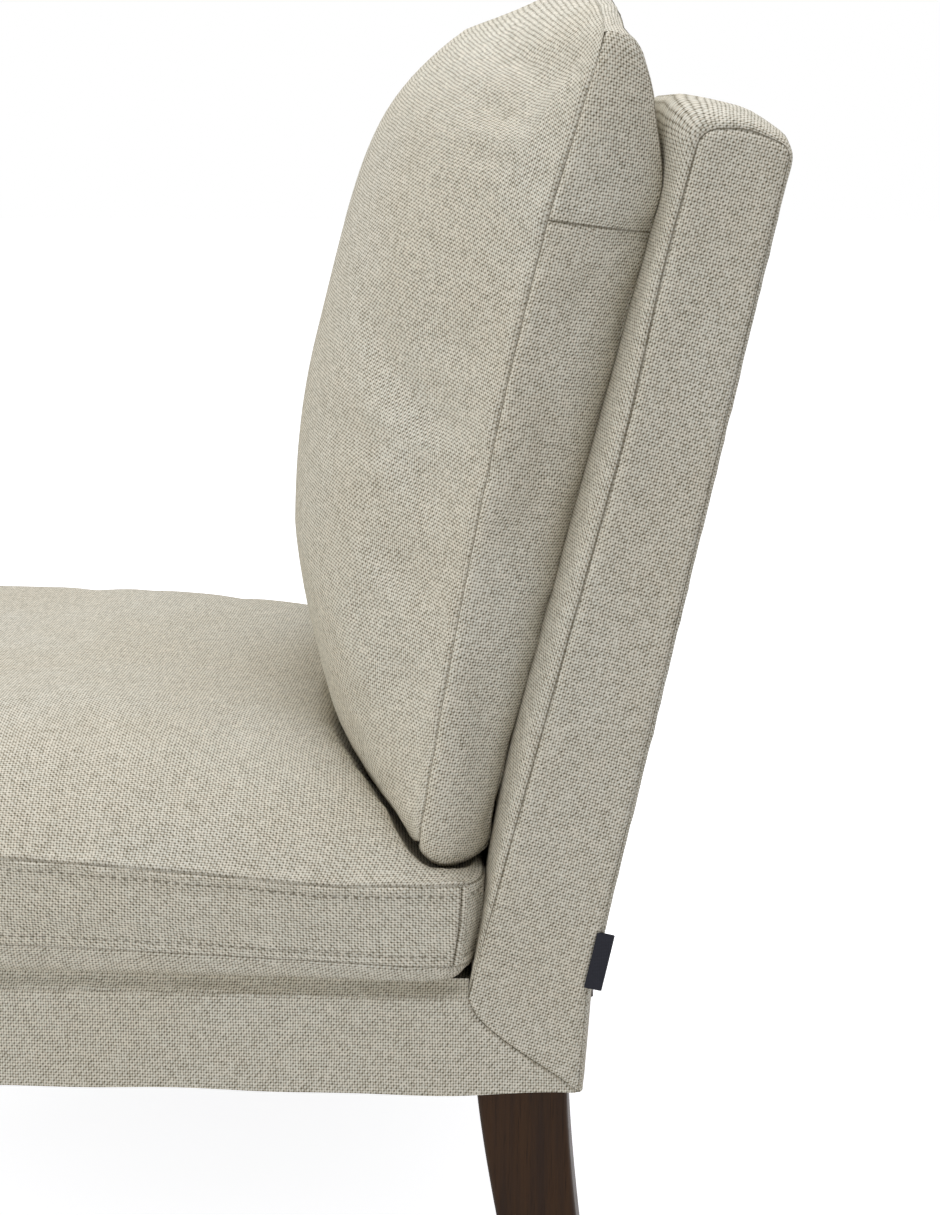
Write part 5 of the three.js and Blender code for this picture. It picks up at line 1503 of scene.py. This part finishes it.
dress(backCushionCloth, "back_cushion", "linen", "back_cushion_cover", "back_cushion_core", fill=0.7)
dress(seatCushionCloth, "seat_cushion", "linen", "seat_cushion_cover", "seat_cushion_core", fill=0.8)
dress(backCoverCloth, "frame", "linen", "back_cover", "back_foam", "back_wadding", fill=0.9)
dress(seatCoverCloth, "frame", "linen", "seat_cover", fill=0.9)
dress(deckCloth, "frame", "linen", "seat_deck_pad", fill=0.9)
for name, obj in legs.items():
    dress(obj, "frame", "leg_wood", name)
dress(tagTape, "frame", "tag_cloth", "side_tag")
dress(seatZip, "seat_cushion", "zip_tape", "seat_cushion_zip")
dress(backZip, "back_cushion", "zip_tape", "back_cushion_zip")
dress(dustCoverCloth, "frame", "dust_cloth", "dust_cover")


# Camera, floor and light

view = {"lens": 72.59, "pitch": math.radians(11.7), "turn": math.radians(3.3),
        "place": (1.7196, frontY + 0.6920, hemZ + 0.6027)}
camera = bpy.data.cameras.new("camera")
camera.lens, camera.sensor_width, camera.sensor_fit = view["lens"], 36.0, "AUTO"
cameraObject = bpy.data.objects.new("camera", camera)
bpy.context.scene.collection.objects.link(cameraObject)
sp, cp, st, ct = (math.sin(view["pitch"]), math.cos(view["pitch"]), math.sin(view["turn"]), math.cos(view["turn"]))
forward, right, up = Vector((-cp * ct, -cp * st, -sp)), Vector((-st, ct, 0)), Vector((-sp * ct, -sp * st, cp))
turned = Matrix((right, up, -forward)).transposed().to_4x4()
cameraObject.matrix_world = Matrix.Translation(view["place"]) @ turned
bpy.context.scene.camera = cameraObject

light = {
    "world": 0.475, "worldTint": (0.98, 0.985, 1.045, 1), "white": (1, 1, 1, 1), "floorGlow": 0.85,
    "floor": srgb(236, 236, 236), "floorSize": 14.0,
    # name, place, target, size, power and colour of each lamp
    "lamps": [("overhead", (0.2, 0.3, 2.8), (0, 0, 0.5), 2.4, 47.0, (0.97, 0.99, 1.07)),
              ("side_fill", (1.7, -1.2, 0.4), (0.3, -0.1, 0.2), 1.2, 6.0, (1, 1, 1)),
              ("front", (0.2, -2.3, 1.1), (0, 0, 0.5), 1.4, 12.0, (1, 1, 1))],
}


def seenPlain(f):
    # 1 where the camera or a mirror sees it, 0 for its light on other things
    path = f.node("ShaderNodeLightPath")
    return f.field(path, 0).maximum(f.field(path, 3))


def makeFloor():
    # pale and matte; the camera and mirrors see a little more light from it, and shadows stay
    f = Finish("floor")
    pale = f.node("ShaderNodeBsdfDiffuse", None, {"Color": light["floor"]})
    glow = f.node("ShaderNodeEmission", None, {"Color": light["white"], "Strength": seenPlain(f) * light["floorGlow"]})
    both = f.node("ShaderNodeAddShader", None, {0: pale.outputs[0], 1: glow.outputs[0]})
    f.node("ShaderNodeOutputMaterial", None, {"Surface": both.outputs[0]})
    size = light["floorSize"]
    corners = [(-size, -size, 0), (size, -size, 0), (size, size, 0), (-size, size, 0)]
    makeObject("floor", makeMesh("floor", corners, [(0, 1, 2, 3)], smooth=False), f.material)


def makeWorld():
    # even, slightly cool light, and full white where the camera or a mirror sees it
    world = bpy.data.worlds.new("studio")
    bpy.context.scene.world = world
    world.use_nodes = True
    f = Finish("studio", world.node_tree)
    seen = seenPlain(f)
    strength = f.node("ShaderNodeMapRange", None, {"Value": seen, "To Min": light["world"], "To Max": 1.0})
    tint = f.mix(seen, light["worldTint"], light["white"])
    background = f.node("ShaderNodeBackground", None, {"Color": tint, "Strength": strength.outputs[0]})
    f.node("ShaderNodeOutputWorld", None, {0: background.outputs[0]})


def makeLamp(name, place, target, size, power, color):
    lamp = bpy.data.lights.new(name, "AREA")
    lamp.shape, lamp.size, lamp.energy, lamp.color = "DISK", size, power, color
    obj = bpy.data.objects.new(name, lamp)
    bpy.context.scene.collection.objects.link(obj)
    obj.location = place
    obj.rotation_euler = (Vector(target) - Vector(place)).to_track_quat("-Z", "Y").to_euler()


makeFloor()
makeWorld()
for row in light["lamps"]:
    makeLamp(*row)

bpy.context.scene.view_settings.view_transform = "Standard"
print("stage ready")
